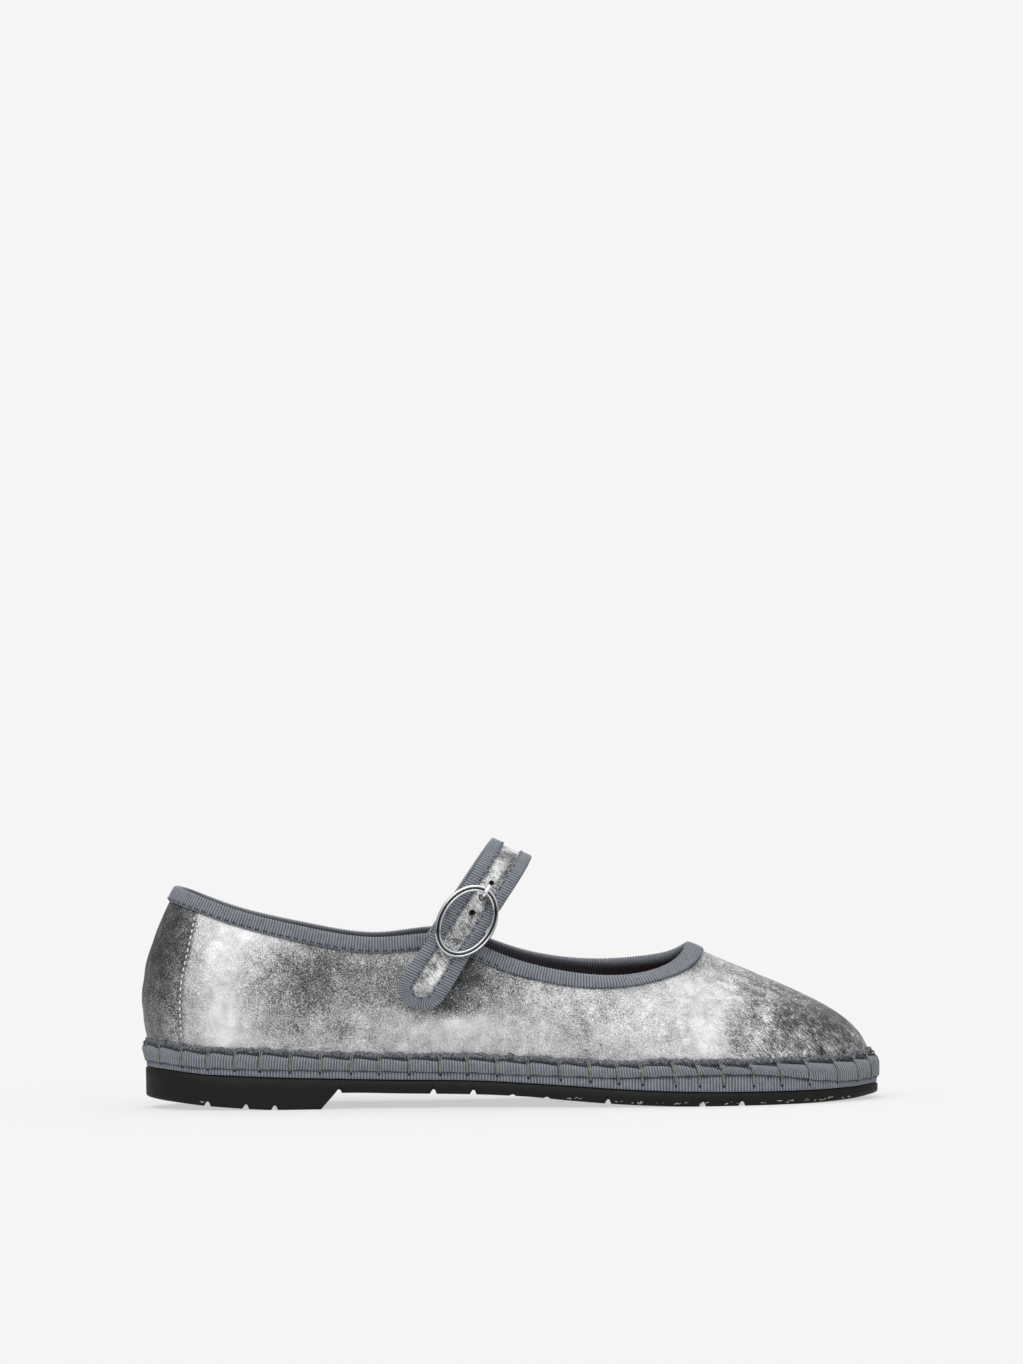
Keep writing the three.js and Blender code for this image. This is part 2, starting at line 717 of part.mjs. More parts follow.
function buckleProng() {
  const under = (reach) => inBuckle(strapPoint(ringPlace + reach, 0, -coreFace)).z - clearance - prongRadius;
  const over = ringLift + wireRadius + clearance + prongRadius;
  const path = [
    point(0, -0.2, barLift + prongEye),
    point(0, 0.3 * holeReach, Math.min(under(0.3 * holeReach), under(0)) - 0.1),
    point(0, 0.7 * holeReach, under(0.7 * holeReach) - 0.3),
    point(0, holeReach - 0.3, under(holeReach) + 0.2 * prongThickness),
    point(0, holeReach, 0.5 * ringLift),
    point(0, holeReach - 0.05, ringLift + 0.2 * wireRadius),
    point(0, holeReach + 0.6 * wireThickness, over + 0.1),
    point(0, rimReach + 0.5 * wireRadius, over + 0.15),
    point(0, rimReach + wireThickness, over - 0.3),
  ];
  const eye = new THREE.TorusGeometry(prongEye, prongRadius, 8, 18).rotateY(Math.PI / 2);
  eye.translate(0, 0, barLift);
  const pin = tube(path, prongRadius, 8, 30);
  return geometryOf(manifoldOf(eye).add(manifoldOf(pin))).applyMatrix4(buckleMatrix);
}

// Holes along the strap, the one at the prong with room for it
function strapHole(reach, long) {
  const cutter = new THREE.CylinderGeometry(0.5, 0.5, 6 * strapThickness, 8);
  cutter.rotateX(Math.PI / 2).scale(holeWidth, long, 1);
  const heart = strapPoint(ringPlace + reach, 0, 0);
  const matrix = buckleMatrix.clone().setPosition(heart);
  return manifoldOf(cutter.applyMatrix4(matrix));
}
const holes = [
  strapHole(holeReach, holeWidth + prongThickness),
  strapHole(holeReach - holePitch, holeWidth),
  strapHole(holeReach + holePitch, holeWidth),
];

// Tab: an eye round the bar on both sides of the prong, and a tail inside the lateral quarter
function buckleTab() {
  const annulus = new THREE.Shape(polygon(eyeOutside, 16));
  annulus.holes.push(new THREE.Path(polygon(eyeInside, 16)));
  const eye = new THREE.ExtrudeGeometry(annulus, { depth: tabWidth, bevelEnabled: false });
  eye.translate(0, 0, -tabWidth / 2);
  const upright = new THREE.Matrix4().makeBasis(point(0, 1, 0), point(0, 0, 1), point(1, 0, 0));
  upright.setPosition(point(0, 0, barLift));
  eye.applyMatrix4(upright).applyMatrix4(buckleMatrix);
  const depth = wallThickness + overCollar + standOff + tabThickness / 2;
  const line = (b) => {
    const start = point(b, -(eyeInside + tabThickness / 2), barLift).applyMatrix4(buckleMatrix);
    const inside = tabFolds.map((share) => {
      const place = strapPlace(-share * tabReach, b);
      place.y = quarterY(place, -1) + depth;
      return place;
    });
    return new THREE.CatmullRomCurve3([start, ...inside]);
  };
  const spread = [-1, -0.5, 0, 0.5, 1].map((share) => (share * tabWidth) / 2);
  const lines = spread.map(line);
  const rows = rounds(11).map((share) => share * 1.1);
  const tail = solidFrom(rows.map((t) => {
    const along = lines[2].getTangent(t);
    const normal = strapAcross.clone().cross(along).normalize();
    const face = (side) => lines.map((curve) => {
      return curve.getPoint(t).addScaledVector(normal, (side * tabThickness) / 2);
    });
    return [...face(1), ...face(-1).reverse()];
  }), false);
  const slotWidth = prongThickness + 2 * clearance;
  const slot = new THREE.BoxGeometry(slotWidth, 2 * eyeOutside + 1, 2 * eyeOutside + 1);
  slot.translate(0, 0, barLift).applyMatrix4(buckleMatrix);
  return geometryOf(manifoldOf(eye).add(manifoldOf(tail)).subtract(manifoldOf(slot)));
}

const looks = {
  outsole: [outsole, 0x17181a, 0.75, 0],
  midsole: [midsole, 0x5d656f, 0.9, 0],
  rand: [rand, 0x69717d, 0.85, 0],
  insole: [insole, 0x4a1c25, 0.8, 0],
  upper: [upper, 0xa9abad, 0.55, 0.3],
  collar_binding: [collarBinding, 0x69717d, 0.85, 0],
  strap: [strapCore, 0xb4b6b8, 0.55, 0.3],
  strap_binding: [strapBinding, 0x69717d, 0.85, 0],
  buckle_tab: [buckleTab, 0x8c9094, 0.7, 0.1],
  buckle_frame: [buckleFrame, 0xd8dadc, 0.15, 1],
  buckle_prong: [buckleProng, 0xd8dadc, 0.15, 1],
};

const shoe = new THREE.Group();
for (const [name, [build, color, roughness, metalness]] of Object.entries(looks)) {
  const material = new THREE.MeshStandardMaterial({ color, roughness, metalness });
  const piece = new THREE.Mesh(build(), material);
  piece.name = name;
  shoe.add(piece);
}

// The origin lies on the floor under the middle of the shoe
const middle = new THREE.Box3().setFromObject(shoe, true).getCenter(new THREE.Vector3());
shoe.position.set(-middle.x, -middle.y, 0);

export default shoe;
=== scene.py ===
import itertools
import math

import bmesh
import bpy
import numpy as np
from mathutils import Matrix, Vector


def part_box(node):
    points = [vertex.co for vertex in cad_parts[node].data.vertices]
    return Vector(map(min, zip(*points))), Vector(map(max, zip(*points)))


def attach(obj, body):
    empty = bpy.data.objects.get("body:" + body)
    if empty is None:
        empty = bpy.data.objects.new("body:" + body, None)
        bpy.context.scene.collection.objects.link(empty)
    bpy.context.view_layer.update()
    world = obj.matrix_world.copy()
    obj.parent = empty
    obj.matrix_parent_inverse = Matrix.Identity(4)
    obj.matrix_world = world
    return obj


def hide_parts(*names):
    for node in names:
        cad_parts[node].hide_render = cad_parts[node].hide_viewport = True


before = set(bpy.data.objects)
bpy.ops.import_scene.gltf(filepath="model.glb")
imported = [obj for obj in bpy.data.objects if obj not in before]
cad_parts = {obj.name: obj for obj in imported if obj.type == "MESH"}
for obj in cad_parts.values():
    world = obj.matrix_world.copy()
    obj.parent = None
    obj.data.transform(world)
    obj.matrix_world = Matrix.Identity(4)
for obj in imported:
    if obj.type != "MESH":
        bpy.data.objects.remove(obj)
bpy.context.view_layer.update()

MM = 0.001
rng = np.random.default_rng(11)

# Sizes of the last, sole, ribbon, strap and buckle, as the solids have them
SHOE_LENGTH = 256.0
BALL_WIDTH = 84.0
COLLAR_HEIGHT = 77.0
WALL = 2.0
CLEARANCE = 0.3
SEAT_HEIGHT = 14.2
HEEL_RISE = 5.6
BREAST_ALONG = 0.253
BREAST_SLANT = 5.0
GROOVE_WIDTH = 2.0
GROOVE_DEPTH = 1.7
MIDSOLE = 3.8
INSOLE = 2.6
RAND = 2.6
RAND_HEIGHT = 5.6
RIBBON = 0.8
COLLAR_RIBBON = 4.5
STRAP_RIBBON = 4.6
STRAP_WIDTH = 15.4
STRAP_THICKNESS = 1.4
STRAP_LEAN = math.radians(34)
STRAP_TILT = math.radians(26)
STRAP_RISE = 27.4
BUCKLE_ALONG = 0.4435
RING_STAND = 5.4
TIP_REACH = 35.4
SEAM_REACH = 24.0
HOLE_PITCH = 6.35
BUCKLE_LENGTH = 27.0
WIRE = 2.2
BAR = 1.8
PRONG = 1.6
TAB = 1.0

# Sections round the last: along, across, top along, top across, top height, lean, rise, reach,
# top lean, drop
SECTIONS = np.array([
    (0.016, 0, 0.05, 0, 0.982, 0.063, 0.217, 0, 0.181, 0.375),
    (0.047, -0.202, 0.07, -0.155, 0.961, 0.062, 0.214, 0, 0.162, 0.351),
    (0.117, -0.31, 0.127, -0.242, 0.89, 0.06, 0.208, 0, 0.114, 0.299),
    (0.227, -0.327, 0.227, -0.301, 0.805, 0.054, 0.208, 0, 0.065, 0.234),
    (0.344, -0.315, 0.328, -0.321, 0.758, 0.048, 0.182, 0, 0.042, 0.195),
    (0.445, -0.339, 0.414, -0.331, 0.771, 0.036, 0.175, 0.05, 0.042, 0.195),
    (0.555, -0.393, 0.492, -0.333, 0.674, 0.03, 0.169, 0.2, 0.048, 0.156),
    (0.688, -0.458, 0.609, -0.312, 0.579, 0.024, 0.169, 0.35, 0.042, 0.11),
    (0.816, -0.438, 0.689, -0.226, 0.586, 0.014, 0.182, 0.5, 0.024, 0.104),
    (0.914, -0.304, 0.727, -0.119, 0.634, 0.012, 0.223, 0.58, 0.012, 0.166),
    (0.967, -0.137, 0.741, -0.036, 0.679, 0.012, 0.247, 0.64, 0.004, 0.213),
    (0.988, 0.048, 0.744, 0.048, 0.699, 0.017, 0.262, 0.665, 0, 0.242),
    (0.969, 0.226, 0.74, 0.131, 0.69, 0.012, 0.247, 0.64, 0.004, 0.226),
    (0.916, 0.369, 0.723, 0.218, 0.657, 0.012, 0.223, 0.58, 0.012, 0.166),
    (0.805, 0.47, 0.676, 0.298, 0.625, 0.018, 0.195, 0.45, 0.03, 0.13),
    (0.684, 0.464, 0.605, 0.337, 0.616, 0.018, 0.182, 0.3, 0.036, 0.13),
    (0.551, 0.363, 0.5, 0.333, 0.681, 0.03, 0.169, 0.2, 0.042, 0.156),
    (0.445, 0.286, 0.414, 0.319, 0.769, 0.048, 0.182, 0.05, 0.036, 0.182),
    (0.344, 0.271, 0.328, 0.305, 0.748, 0.054, 0.195, 0, 0.036, 0.195),
    (0.227, 0.286, 0.227, 0.286, 0.795, 0.06, 0.208, 0, 0.065, 0.234),
    (0.117, 0.298, 0.127, 0.236, 0.881, 0.06, 0.208, 0, 0.114, 0.299),
    (0.047, 0.196, 0.07, 0.15, 0.958, 0.062, 0.214, 0, 0.162, 0.351),
])
EAR_ROW = 5
# Side profile of the rubber: along, its top and its tread as shares of the seat height
SOLE_ROWS = np.array([
    (0.0, 1.0, 0.28), (0.03, 0.97, 0.22), (0.055, 0.92, 0.17), (0.085, 0.86, 0.11), (0.12, 0.83, 0.06),
    (0.155, 0.8, 0.02), (0.18, 0.78, 0), (0.24, 0.74, 0), (0.35, 0.68, 0), (0.45, 0.65, 0), (0.52, 0.58, 0),
    (0.58, 0.51, 0), (0.66, 0.41, 0), (0.74, 0.345, 0), (0.84, 0.315, 0), (0.9, 0.31, 0.008),
    (0.96, 0.33, 0.055), (1.0, 0.37, 0.135),
])
# Height of the arch under the waist: along, share of the heel rise
ARCH_ROWS = np.array([
    (0.0, 1.0), (0.28, 1.0), (0.35, 0.92), (0.45, 0.83), (0.52, 0.68), (0.58, 0.42), (0.64, 0.2),
    (0.7, 0.06), (0.75, 0), (1.0, 0),
])
# Notches across the tread: along, share of the groove depth
GROOVES = [
    (0.09, 1), (0.142, 1), (0.181, 1), (0.268, 0.8), (0.396, 1), (0.45, 1), (0.503, 0.35),
    (0.549, 0.35), (0.632, 1), (0.76, 1), (0.813, 1),
]
# Strap on the lateral quarter: share of its reach, share of the way out over the collar's ribbon
LATERAL_FOLDS = [(1, 0), (0.8, 0.2), (0.6, 0.5), (0.4, 0.9), (0.2, 1)]
# Free over the instep: share of its rise, share of half its span
ARCH_FOLDS = [
    (0.04, -0.98), (0.26, -0.94), (0.48, -0.88), (0.68, -0.77), (0.85, -0.58), (0.96, -0.3),
    (1, 0), (0.96, 0.3), (0.85, 0.57), (0.65, 0.79), (0.4, 0.92), (0.12, 0.985),
]
# Down inside the medial quarter: share of its seam's reach
MEDIAL_FOLDS = [0.2, 0.45, 0.7, 1]

# Seam of the heel panel in side view: x, z
HEEL_SEAM = [(-108.2, 69.3), (-109.2, 63.9), (-111.2, 55.4), (-112.7, 49.2), (-113.7, 43.6), (-114.2, 37.4),
             (-114.0, 30.5), (-113.7, 24.0)]
# Soft troughs and ridges in side view: from x, z to x, z, half width, height, side
CREASES = [
    (-127, 44, -116, 40, 2.6, -0.7, -1), (-127, 33, -117, 30, 2.4, -0.5, -1),
    (-126, 58, -118, 55, 3.0, -0.35, -1), (-100, 60, -96, 30, 5.0, -0.3, -1),
    (-78, 58, -74, 34, 6.0, -0.35, -1), (-48, 50, -38, 47, 2.2, -0.3, -1), (-8, 52, 8, 48, 1.1, -0.3, -1),
    (-7, 49.5, 9, 44.5, 1.1, -0.28, -1), (-6, 47, 8, 40, 1.2, -0.25, -1), (20, 40, 28, 20, 5.0, -0.25, -1),
    (84, 38, 78, 18, 4.0, -0.3, -1), (100, 32, 108, 18, 2.5, -0.3, -1), (110, 36, 120, 24, 2.2, -0.35, -1),
    (-127, 46, -116, 44, 2.6, -0.6, 1), (-126, 34, -117, 31, 2.4, -0.4, 1),
    (-84, 58, -80, 32, 6.0, -0.35, 1), (-44, 50, -30, 44, 2.6, -0.35, 1), (-14, 52, 6, 45, 1.4, -0.3, 1),
    (26, 44, 34, 22, 5.0, -0.3, 1), (70, 40, 64, 18, 5.0, -0.3, 1), (104, 30, 112, 18, 2.5, -0.35, 1),
]
# Light and dark of the nap in side view, and painted shadow of the strap: x, z, half width, half height,
# turn in degrees, strength
LATERAL_NAP_AND_SHADOW = [
    (-20, 20, 110, 7, 0, 0.14), (-95, 27, 16, 9, 0, 0.12), (-85, 59, 8, 9, -20, 0.2),
    (-99, 46, 8, 34, 4, 0.27), (-96, 62, 6, 9, 0, 0.1), (-103, 30, 6, 9, 0, 0.12),
    (-73, 51, 12, 15, 0, -0.34), (-66, 42, 9, 9, 0, -0.14), (-56, 53, 11, 10, 0, -0.16),
    (-42, 54, 10, 11, 0, -0.2), (-57.5, 28, 3.6, 3.8, 0, -0.26), (-48, 26, 2.8, 3, 0, -0.18),
    # Painted shadow of the strap: rows at -14.2, 50, -17, 41 and -22, 35.5; the darks at -12, 46 and 0, 44
    # right of it are partly nap and partly painted shadow
    (-80, 27, 7, 5, 0, -0.1), (-26, 29, 20, 8, 0, 0.2), (-12, 46, 8, 9, 20, -0.34),
    (-14.2, 50, 9, 1.3, 56, -0.45), (-66, 30, 5, 5, 0, 0.08), (-57.5, 28, 3, 3, 0, -0.05),
    (-51, 30, 3, 4, 0, 0.1), (-17, 41, 5, 7, -30, -0.34), (0, 44, 7, 5, 0, -0.16),
    (-22, 35.5, 9, 3.5, -8, -0.5), (22, 36, 14, 12, 0, 0.02), (36, 47, 20, 4.5, 5, -0.2),
    (60, 51, 9, 6, -25, -0.2), (48, 47, 17, 4.5, 8, -0.15), (60, 52, 6, 5, 0, -0.22),
    (-93, 65, 10, 5, -25, 0.14), (-74, 57, 11, 4, -25, 0.2), (-43, 53, 7, 4, 0, 0.22),
    (-29, 33, 6, 4, 0, -0.2), (-47, 39, 9, 5, 0, -0.13), (2, 27, 14, 6, 0, 0.12), (66, 27, 6, 8, 0, 0.1),
    (-38, 42, 8, 6, 0, -0.16), (-76, 33, 7, 6, 0, -0.08), (-16, 30, 12, 4, 0, 0.16),
    (48, 34, 14, 14, 0, 0.12), (69, 30, 12, 16, 8, 0.2), (60, 42, 9, 6, 0, 0.1),
    (66, 51, 7, 4.5, -30, -0.22), (85, 33, 3.4, 9, -28, -0.34), (80, 22, 3.4, 6, 20, -0.3),
    (93, 41, 7, 6, -30, -0.24), (97, 30, 5, 9, -35, -0.3), (94, 24, 6, 7, 0, -0.12),
    (106, 30, 9, 14, -35, -0.27), (116, 30, 9, 13, -40, -0.38), (116, 23, 6, 2.5, 25, 0.2),
    (110, 17, 8, 3, 0, -0.1), (80, 48, 12, 4, -30, -0.22), (118, 26, 8, 6, 0, -0.3),
    (84, 30, 5, 7, 0, 0.12), (94, 37, 4, 9, 0, -0.06), (88, 38, 4, 6, 0, 0.1),
]
MEDIAL_NAP = [
    (-98, 44, 9, 32, -4, 0.24), (-76, 48, 12, 16, 8, -0.3), (-52, 34, 14, 8, 0, 0.14),
    (-38, 52, 12, 9, 0, -0.22), (-8, 40, 10, 12, -12, -0.24), (18, 32, 14, 10, 0, 0.16),
    (44, 42, 10, 8, 0, -0.14), (66, 30, 12, 15, -8, 0.24), (90, 34, 6, 12, -25, -0.28),
    (104, 26, 8, 9, -35, -0.24), (114, 32, 8, 10, -40, -0.24), (-24, 24, 12, 5, 0, 0.1),
]
# The same on the strap: place across it and from its free end
STRAP_NAP = [
    (1.6, 12, 1.6, 8, 0, 0.4), (-1.4, 9, 2, 6, 0, 0.08), (0, 22, 4, 4, 0, 0.04), (0.6, 29, 3, 4, 0, -0.26),
    (-0.6, 34, 2, 3, 0, 0.12), (2, 37, 1, 2, 0, 0.4), (-1.2, 43, 2, 4, 0, 0.42), (2.4, 45, 1, 4, 0, -0.3),
    (-0.9, 56, 2, 8, 5, 0.34), (2.4, 57, 1.2, 8, 0, -0.34), (1, 67, 4, 3, 0, -0.34), (0, 74, 4, 3, 0, 0.1),
    (0, 84, 4, 9, 0, 0.2), (0, 58, 5, 12, 0, -0.1),
]
# Blanket stitches down the lateral side, x of each, and how many evenly on the medial side
LATERAL_STITCHES = [
    -121.5, -113.9, -104.9, -95.5, -86.8, -76.4, -66, -55.2, -45.5, -35, -24.3, -14.9, -4.5, 6.3, 17.4, 27.8,
    37.5, 45.8, 57.3, 65.6, 74, 84.4, 94.1, 103.8, 113.5, 120.5,
]
MEDIAL_STITCHES = 30
STITCH_PITCH = 9.4
STITCH_WANDER = 0.8
STITCH_FOOT = -2.1
# From its upper end to its foot: how far a stitch spreads sideways, and its lift off the rand
STITCH_SPREAD = np.array([2.4, 2.1, 1.6, 1.2, 1, 1, 0.9, 0.7, 0.4])
STITCH_LIFT = np.array([-0.6, 0.3, 0.25, 0.12, 0.12, 0.14, 0.2, 0.12, -0.7])
# Seam thread between the two sole ribbons: x, height over the foot of the upper
SEAM_THREAD = np.array([
    (-130, -1.9), (-108, -1.9), (-58, -1.2), (0, -1.5), (36, -0.3), (58, 1.3), (74, 1.9), (86, 1.7),
    (96, 0.7), (105, -0.9), (115, -2.0), (130, -1.9),
])
# Top edge of the rand ribbon: x, height over the foot of the upper
RIBBON_TOP = np.array([
    (-130, 3.7), (-106, 3.3), (-88, 3.6), (-60, 2.9), (0, 2.9), (33, 3.3), (44, 3.8), (54, 5.0), (85, 5.0),
    (102, 5.3), (116, 4.9), (122, 5.2), (130, 6.4),
])
# Pale flecks along the lower edge of the rubber: x of each pair
FLECKS = [
    -108, 20.5, 24, 38, 43, 45.5, 52, 57, 62, 66, 69, 76, 79, 88, 93, 96, 99, 103, 107, 109, 112, 116, 118,
]
# Section of a notch in the tread: shares of its width and depth
NOTCH = [
    (-0.86, -0.4), (-0.66, 0), (-0.4, 0.52), (-0.2, 0.86), (0, 0.97), (0.2, 0.86), (0.36, 0.5), (0.5, 0),
    (0.6, -0.4),
]

PROBE = 1e-4
THREAD_GAP = 1e-7
FINE_STEPS = 2001


# Curves and the last

def closed_curve(knots, values, period):
    """Closed curve through values at knots, evenly bent."""
    count = len(values)
    step = np.diff(np.append(knots, knots[0] + period))
    grade = (np.roll(values, -1) - values) / step
    weight = 1 / step
    before = np.roll(weight, 1)
    system = np.diag(2 * (before + weight))
    for i in range(count):
        system[i, i - 1] += before[i]
        system[i, (i + 1) % count] += weight[i]
    slopes = np.linalg.solve(system, 3 * (before * np.roll(grade, 1) + weight * grade))

    def at(place):
        place = np.mod(place, period)
        i = np.clip(np.searchsorted(knots, place, side="right") - 1, 0, count - 1)
        j = (i + 1) % count
        h = step[i]
        t = (place - knots[i]) / h
        bend = values[i] * (1 + 2 * t) * (1 - t) ** 2 + values[j] * t * t * (3 - 2 * t)
        return bend + h * (slopes[i] * t * (1 - t) ** 2 - slopes[j] * t * t * (1 - t))
    return at


def profile(rows, column):
    """Smooth profile through rows of place and height, level wherever two rows are."""
    place, height = rows[:, 0], rows[:, column]
    grade = np.diff(height) / np.diff(place)
    slopes = np.zeros(len(rows))
    for i in range(1, len(rows) - 1):
        a, b = grade[i - 1], grade[i]
        slopes[i] = 2 * a * b / (a + b) if a * b > 0 else 0

    def at(where):
        where = np.clip(where, 0, 1)
        i = np.clip(np.searchsorted(place, where, side="right") - 1, 0, len(rows) - 2)
        h = place[i + 1] - place[i]
        t = (where - place[i]) / h
        bend = height[i] * (1 + 2 * t) * (1 - t) ** 2 + height[i + 1] * t * t * (3 - 2 * t)
        return bend + h * (slopes[i] * t * (1 - t) ** 2 - slopes[i + 1] * t * t * (1 - t))
    return at


def unit(v):
    return v / np.linalg.norm(v, axis=-1, keepdims=True)


def stack(x, y, z):
    return np.stack(np.broadcast_arrays(x, y, z), axis=-1).astype(float)


def bend(t):
    return t * t * (3 - 2 * t)


def ramp_up(value, start, reach):
    """0 up to start, 1 past start + reach, smooth between."""
    return bend(np.clip((value - start) / reach, 0, 1))


def bell(distance, reach):
    return np.exp(-(distance / reach) ** 2)


def run_of(points):
    """Length along a line up to each of its points."""
    return np.append(0, np.cumsum(np.linalg.norm(np.diff(points, axis=0), axis=1)))


def arc(line):
    """Shares u, and the length of a closed line(u) up to each of them."""
    u = np.linspace(0, 1, FINE_STEPS)
    return u, run_of(line(u))


def even(line):
    """Shares u that cut a closed line(u) into equal lengths, and its whole length."""
    u, run = arc(line)
    return lambda share: np.interp(share, run / run[-1], u), run[-1]


chords = np.hypot(*(np.roll(SECTIONS[:, :2], -1, 0) - SECTIONS[:, :2]).T * [[SHOE_LENGTH], [BALL_WIDTH]])
girth = chords.sum()
girth_knots = np.append(0, np.cumsum(chords)[:-1])
section_curves = [closed_curve(girth_knots, column, girth) for column in SECTIONS.T]
sole_top = profile(SOLE_ROWS, 1)
sole_tread = profile(SOLE_ROWS, 2)
arch_curve = profile(ARCH_ROWS, 1)


def to_x(along):
    return (along - 0.5) * SHOE_LENGTH


def rubber_top(x):
    return sole_top(x / SHOE_LENGTH + 0.5) * SEAT_HEIGHT


def tread(x):
    return sole_tread(x / SHOE_LENGTH + 0.5) * SEAT_HEIGHT


def arch(x):
    return arch_curve(x / SHOE_LENGTH + 0.5) * HEEL_RISE


def foot(x):
    return rubber_top(x) + MIDSOLE + 2 * CLEARANCE


def feather(u):
    at = np.asarray(u) * girth
    x = to_x(section_curves[0](at))
    return stack(x, section_curves[1](at) * BALL_WIDTH, foot(x))


def outward(u):
    ahead, back = feather(u + PROBE), feather(u - PROBE)
    return unit(stack(ahead[..., 1] - back[..., 1], back[..., 0] - ahead[..., 0], 0))


def feather_out(u, out):
    """The feather line moved straight outward."""
    return feather(u) + outward(u) * np.asarray(out)[..., None]


def bare_wall(u, v):
    """Outer face of the upper before any crease: u round the shoe, v from feather line to topline."""
    u, v = np.broadcast_arrays(np.asarray(u, float), np.asarray(v, float))
    at = u * girth
    value = [curve(at) for curve in section_curves]
    out = outward(u)
    low = feather(u)
    high = stack(to_x(value[2]), value[3] * BALL_WIDTH, value[4] * COLLAR_HEIGHT)
    lower = low + out * (value[5] * BALL_WIDTH)[..., None]
    lower[..., 2] += value[6] * COLLAR_HEIGHT
    upper = high + out * (value[8] * BALL_WIDTH)[..., None]
    upper[..., :2] += (low - high)[..., :2] * value[7][..., None]
    upper[..., 2] -= value[9] * COLLAR_HEIGHT
    t = v[..., None]
    s = 1 - t
    return s ** 3 * low + 3 * s * s * t * lower + 3 * s * t * t * upper + t ** 3 * high


def wall_normal(u, v):
    up = np.minimum(v + PROBE, 1)
    across = bare_wall(u + PROBE, v) - bare_wall(u - PROBE, v)
    along = bare_wall(u, up) - bare_wall(u, up - 2 * PROBE)
    return unit(np.cross(across, along))


def wall(u, v, out=0.0):
    out = np.asarray(out, float)
    return bare_wall(u, v) + wall_normal(u, v) * out[..., None]


def topline(u):
    return bare_wall(u, np.ones(len(u)))


def above_foot(u, height):
    """The share v of the place at that height over the foot of the upper."""
    share = np.full(np.shape(u), 0.1)
    for _ in range(8):
        share = share * height / (bare_wall(u, share)[..., 2] - feather(u)[..., 2])
    return share


def below_top(u, distance):
    """The shares u, v of the place a distance below the topline, square to it."""
    share = np.full(np.shape(u), 0.9)
    top = topline(u)
    edge = topline(u + PROBE) - top
    pace = np.linalg.norm(edge, axis=-1)
    place = np.array(u, float)
    for _ in range(8):
        way = bare_wall(place, share) - top
        place = place - 0.8 * (way * edge).sum(-1) / pace * PROBE / pace
        share = 1 - (1 - share) * distance / np.linalg.norm(way, axis=-1)
    return place, share


def side_spot(x, z, u, v):
    """The shares u, v of the wall that shows at x, z in side view, near a first guess."""
    for _ in range(30):
        here = bare_wall(u, v)
        along_u = (bare_wall(u + PROBE, v) - here) / PROBE
        along_v = (bare_wall(u, v + PROBE) - here) / PROBE
        miss_x, miss_z = x - here[0], z - here[2]
        det = along_u[0] * along_v[2] - along_v[0] * along_u[2]
        u += float(np.clip((miss_x * along_v[2] - miss_z * along_v[0]) / det, -0.01, 0.01))
        v += float(np.clip((miss_z * along_u[0] - miss_x * along_u[2]) / det, -0.1, 0.1))
    return u, v


seam_spots = [side_spot(x, z, 0.06, 0.8 - 0.1 * k) for k, (x, z) in enumerate(HEEL_SEAM)]
seam_v = np.array([v for _, v in seam_spots])[::-1]
seam_u = np.array([u for u, _ in seam_spots])[::-1]


def heel_seam(v):
    return np.interp(v, seam_v, seam_u)


rand_u, rand_run = arc(lambda u: feather_out(u, RAND))
rand_length = rand_run[-1]
half_u = np.linspace(0.004, 0.49, 800)
half_x = np.maximum.accumulate(feather_out(half_u, RAND)[:, 0])
lateral_run = np.interp(np.interp(LATERAL_STITCHES, half_x, half_u), rand_u, rand_run)
medial_run = np.linspace(lateral_run[-1] + STITCH_PITCH, rand_length + lateral_run[0] - STITCH_PITCH,
                         MEDIAL_STITCHES)
medial_run[1:-1] += rng.uniform(-STITCH_WANDER, STITCH_WANDER, MEDIAL_STITCHES - 2)
stitch_run = np.append(lateral_run, medial_run)


def rand_share(run):
    """Share u at a length along the rand, which may run past its start."""
    return np.interp(np.mod(run, rand_length), rand_run, rand_u)


def stitch_phase(u):
    """Whole at each blanket stitch, a half midway between two."""
    run = np.interp(np.mod(u, 1), rand_u, rand_run)
    knots = np.concatenate([stitch_run - rand_length, stitch_run, stitch_run + rand_length])
    return np.interp(run, knots, np.arange(len(knots)))


def gather(u):
    """1 at each blanket stitch, -1 midway between two."""
    return np.cos(2 * math.pi * stitch_phase(u))


def seam_height(x):
    return np.interp(x, *SEAM_THREAD.T)


def ribbon_line(x):
    return np.interp(x, *RIBBON_TOP.T)


def patches(points, rows):
    """Sum of soft patches in side view."""
    total = np.zeros(len(points))
    for x, z, wide, high, turn, strength in rows:
        c, s = math.cos(math.radians(turn)), math.sin(math.radians(turn))
        dx, dz = points[:, 0] - x, points[:, 2] - z
        total += strength * np.exp(-((dx * c + dz * s) / wide) ** 2 - ((dz * c - dx * s) / high) ** 2)
    return total


def medial_share(points):
    return ramp_up(points[:, 1], -12, 24)


def heel_panel(u, v):
    """1 inside the heel panel, 0 outside, and the distance to its seam."""
    fold = np.minimum(np.mod(u, 1), 1 - np.mod(u, 1))
    distance = (fold - heel_seam(v)) * girth
    return np.clip(0.5 - (distance - 0.9) / 1.4, 0, 1), distance


def nap_of(u, v, points):
    """How bright the velvet shows, 0 to 1, from its nap, the darker heel panel and painted shadow of the
    strap, and how much it streaks.
    """
    medial = medial_share(points)
    value = 0.61 + patches(points, LATERAL_NAP_AND_SHADOW) * (1 - medial) + patches(points, MEDIAL_NAP) * medial
    panel, distance = heel_panel(u, v)
    dark = 0.06 + 0.34 * bell(points[:, 2] - 21, 12) + 0.04 * np.sin(points[:, 2] / 5)
    dark += 0.13 * bell(distance + 3, 2.5)
    value = value * (1 - panel) + dark * panel
    ridge = np.clip((points[:, 0] - 62) / 40, 0, 1) * bell(points[:, 1], 14)
    streak = ramp_up(points[:, 0], 66, 26)
    return np.clip(value - 0.16 * ridge, 0, 1), streak


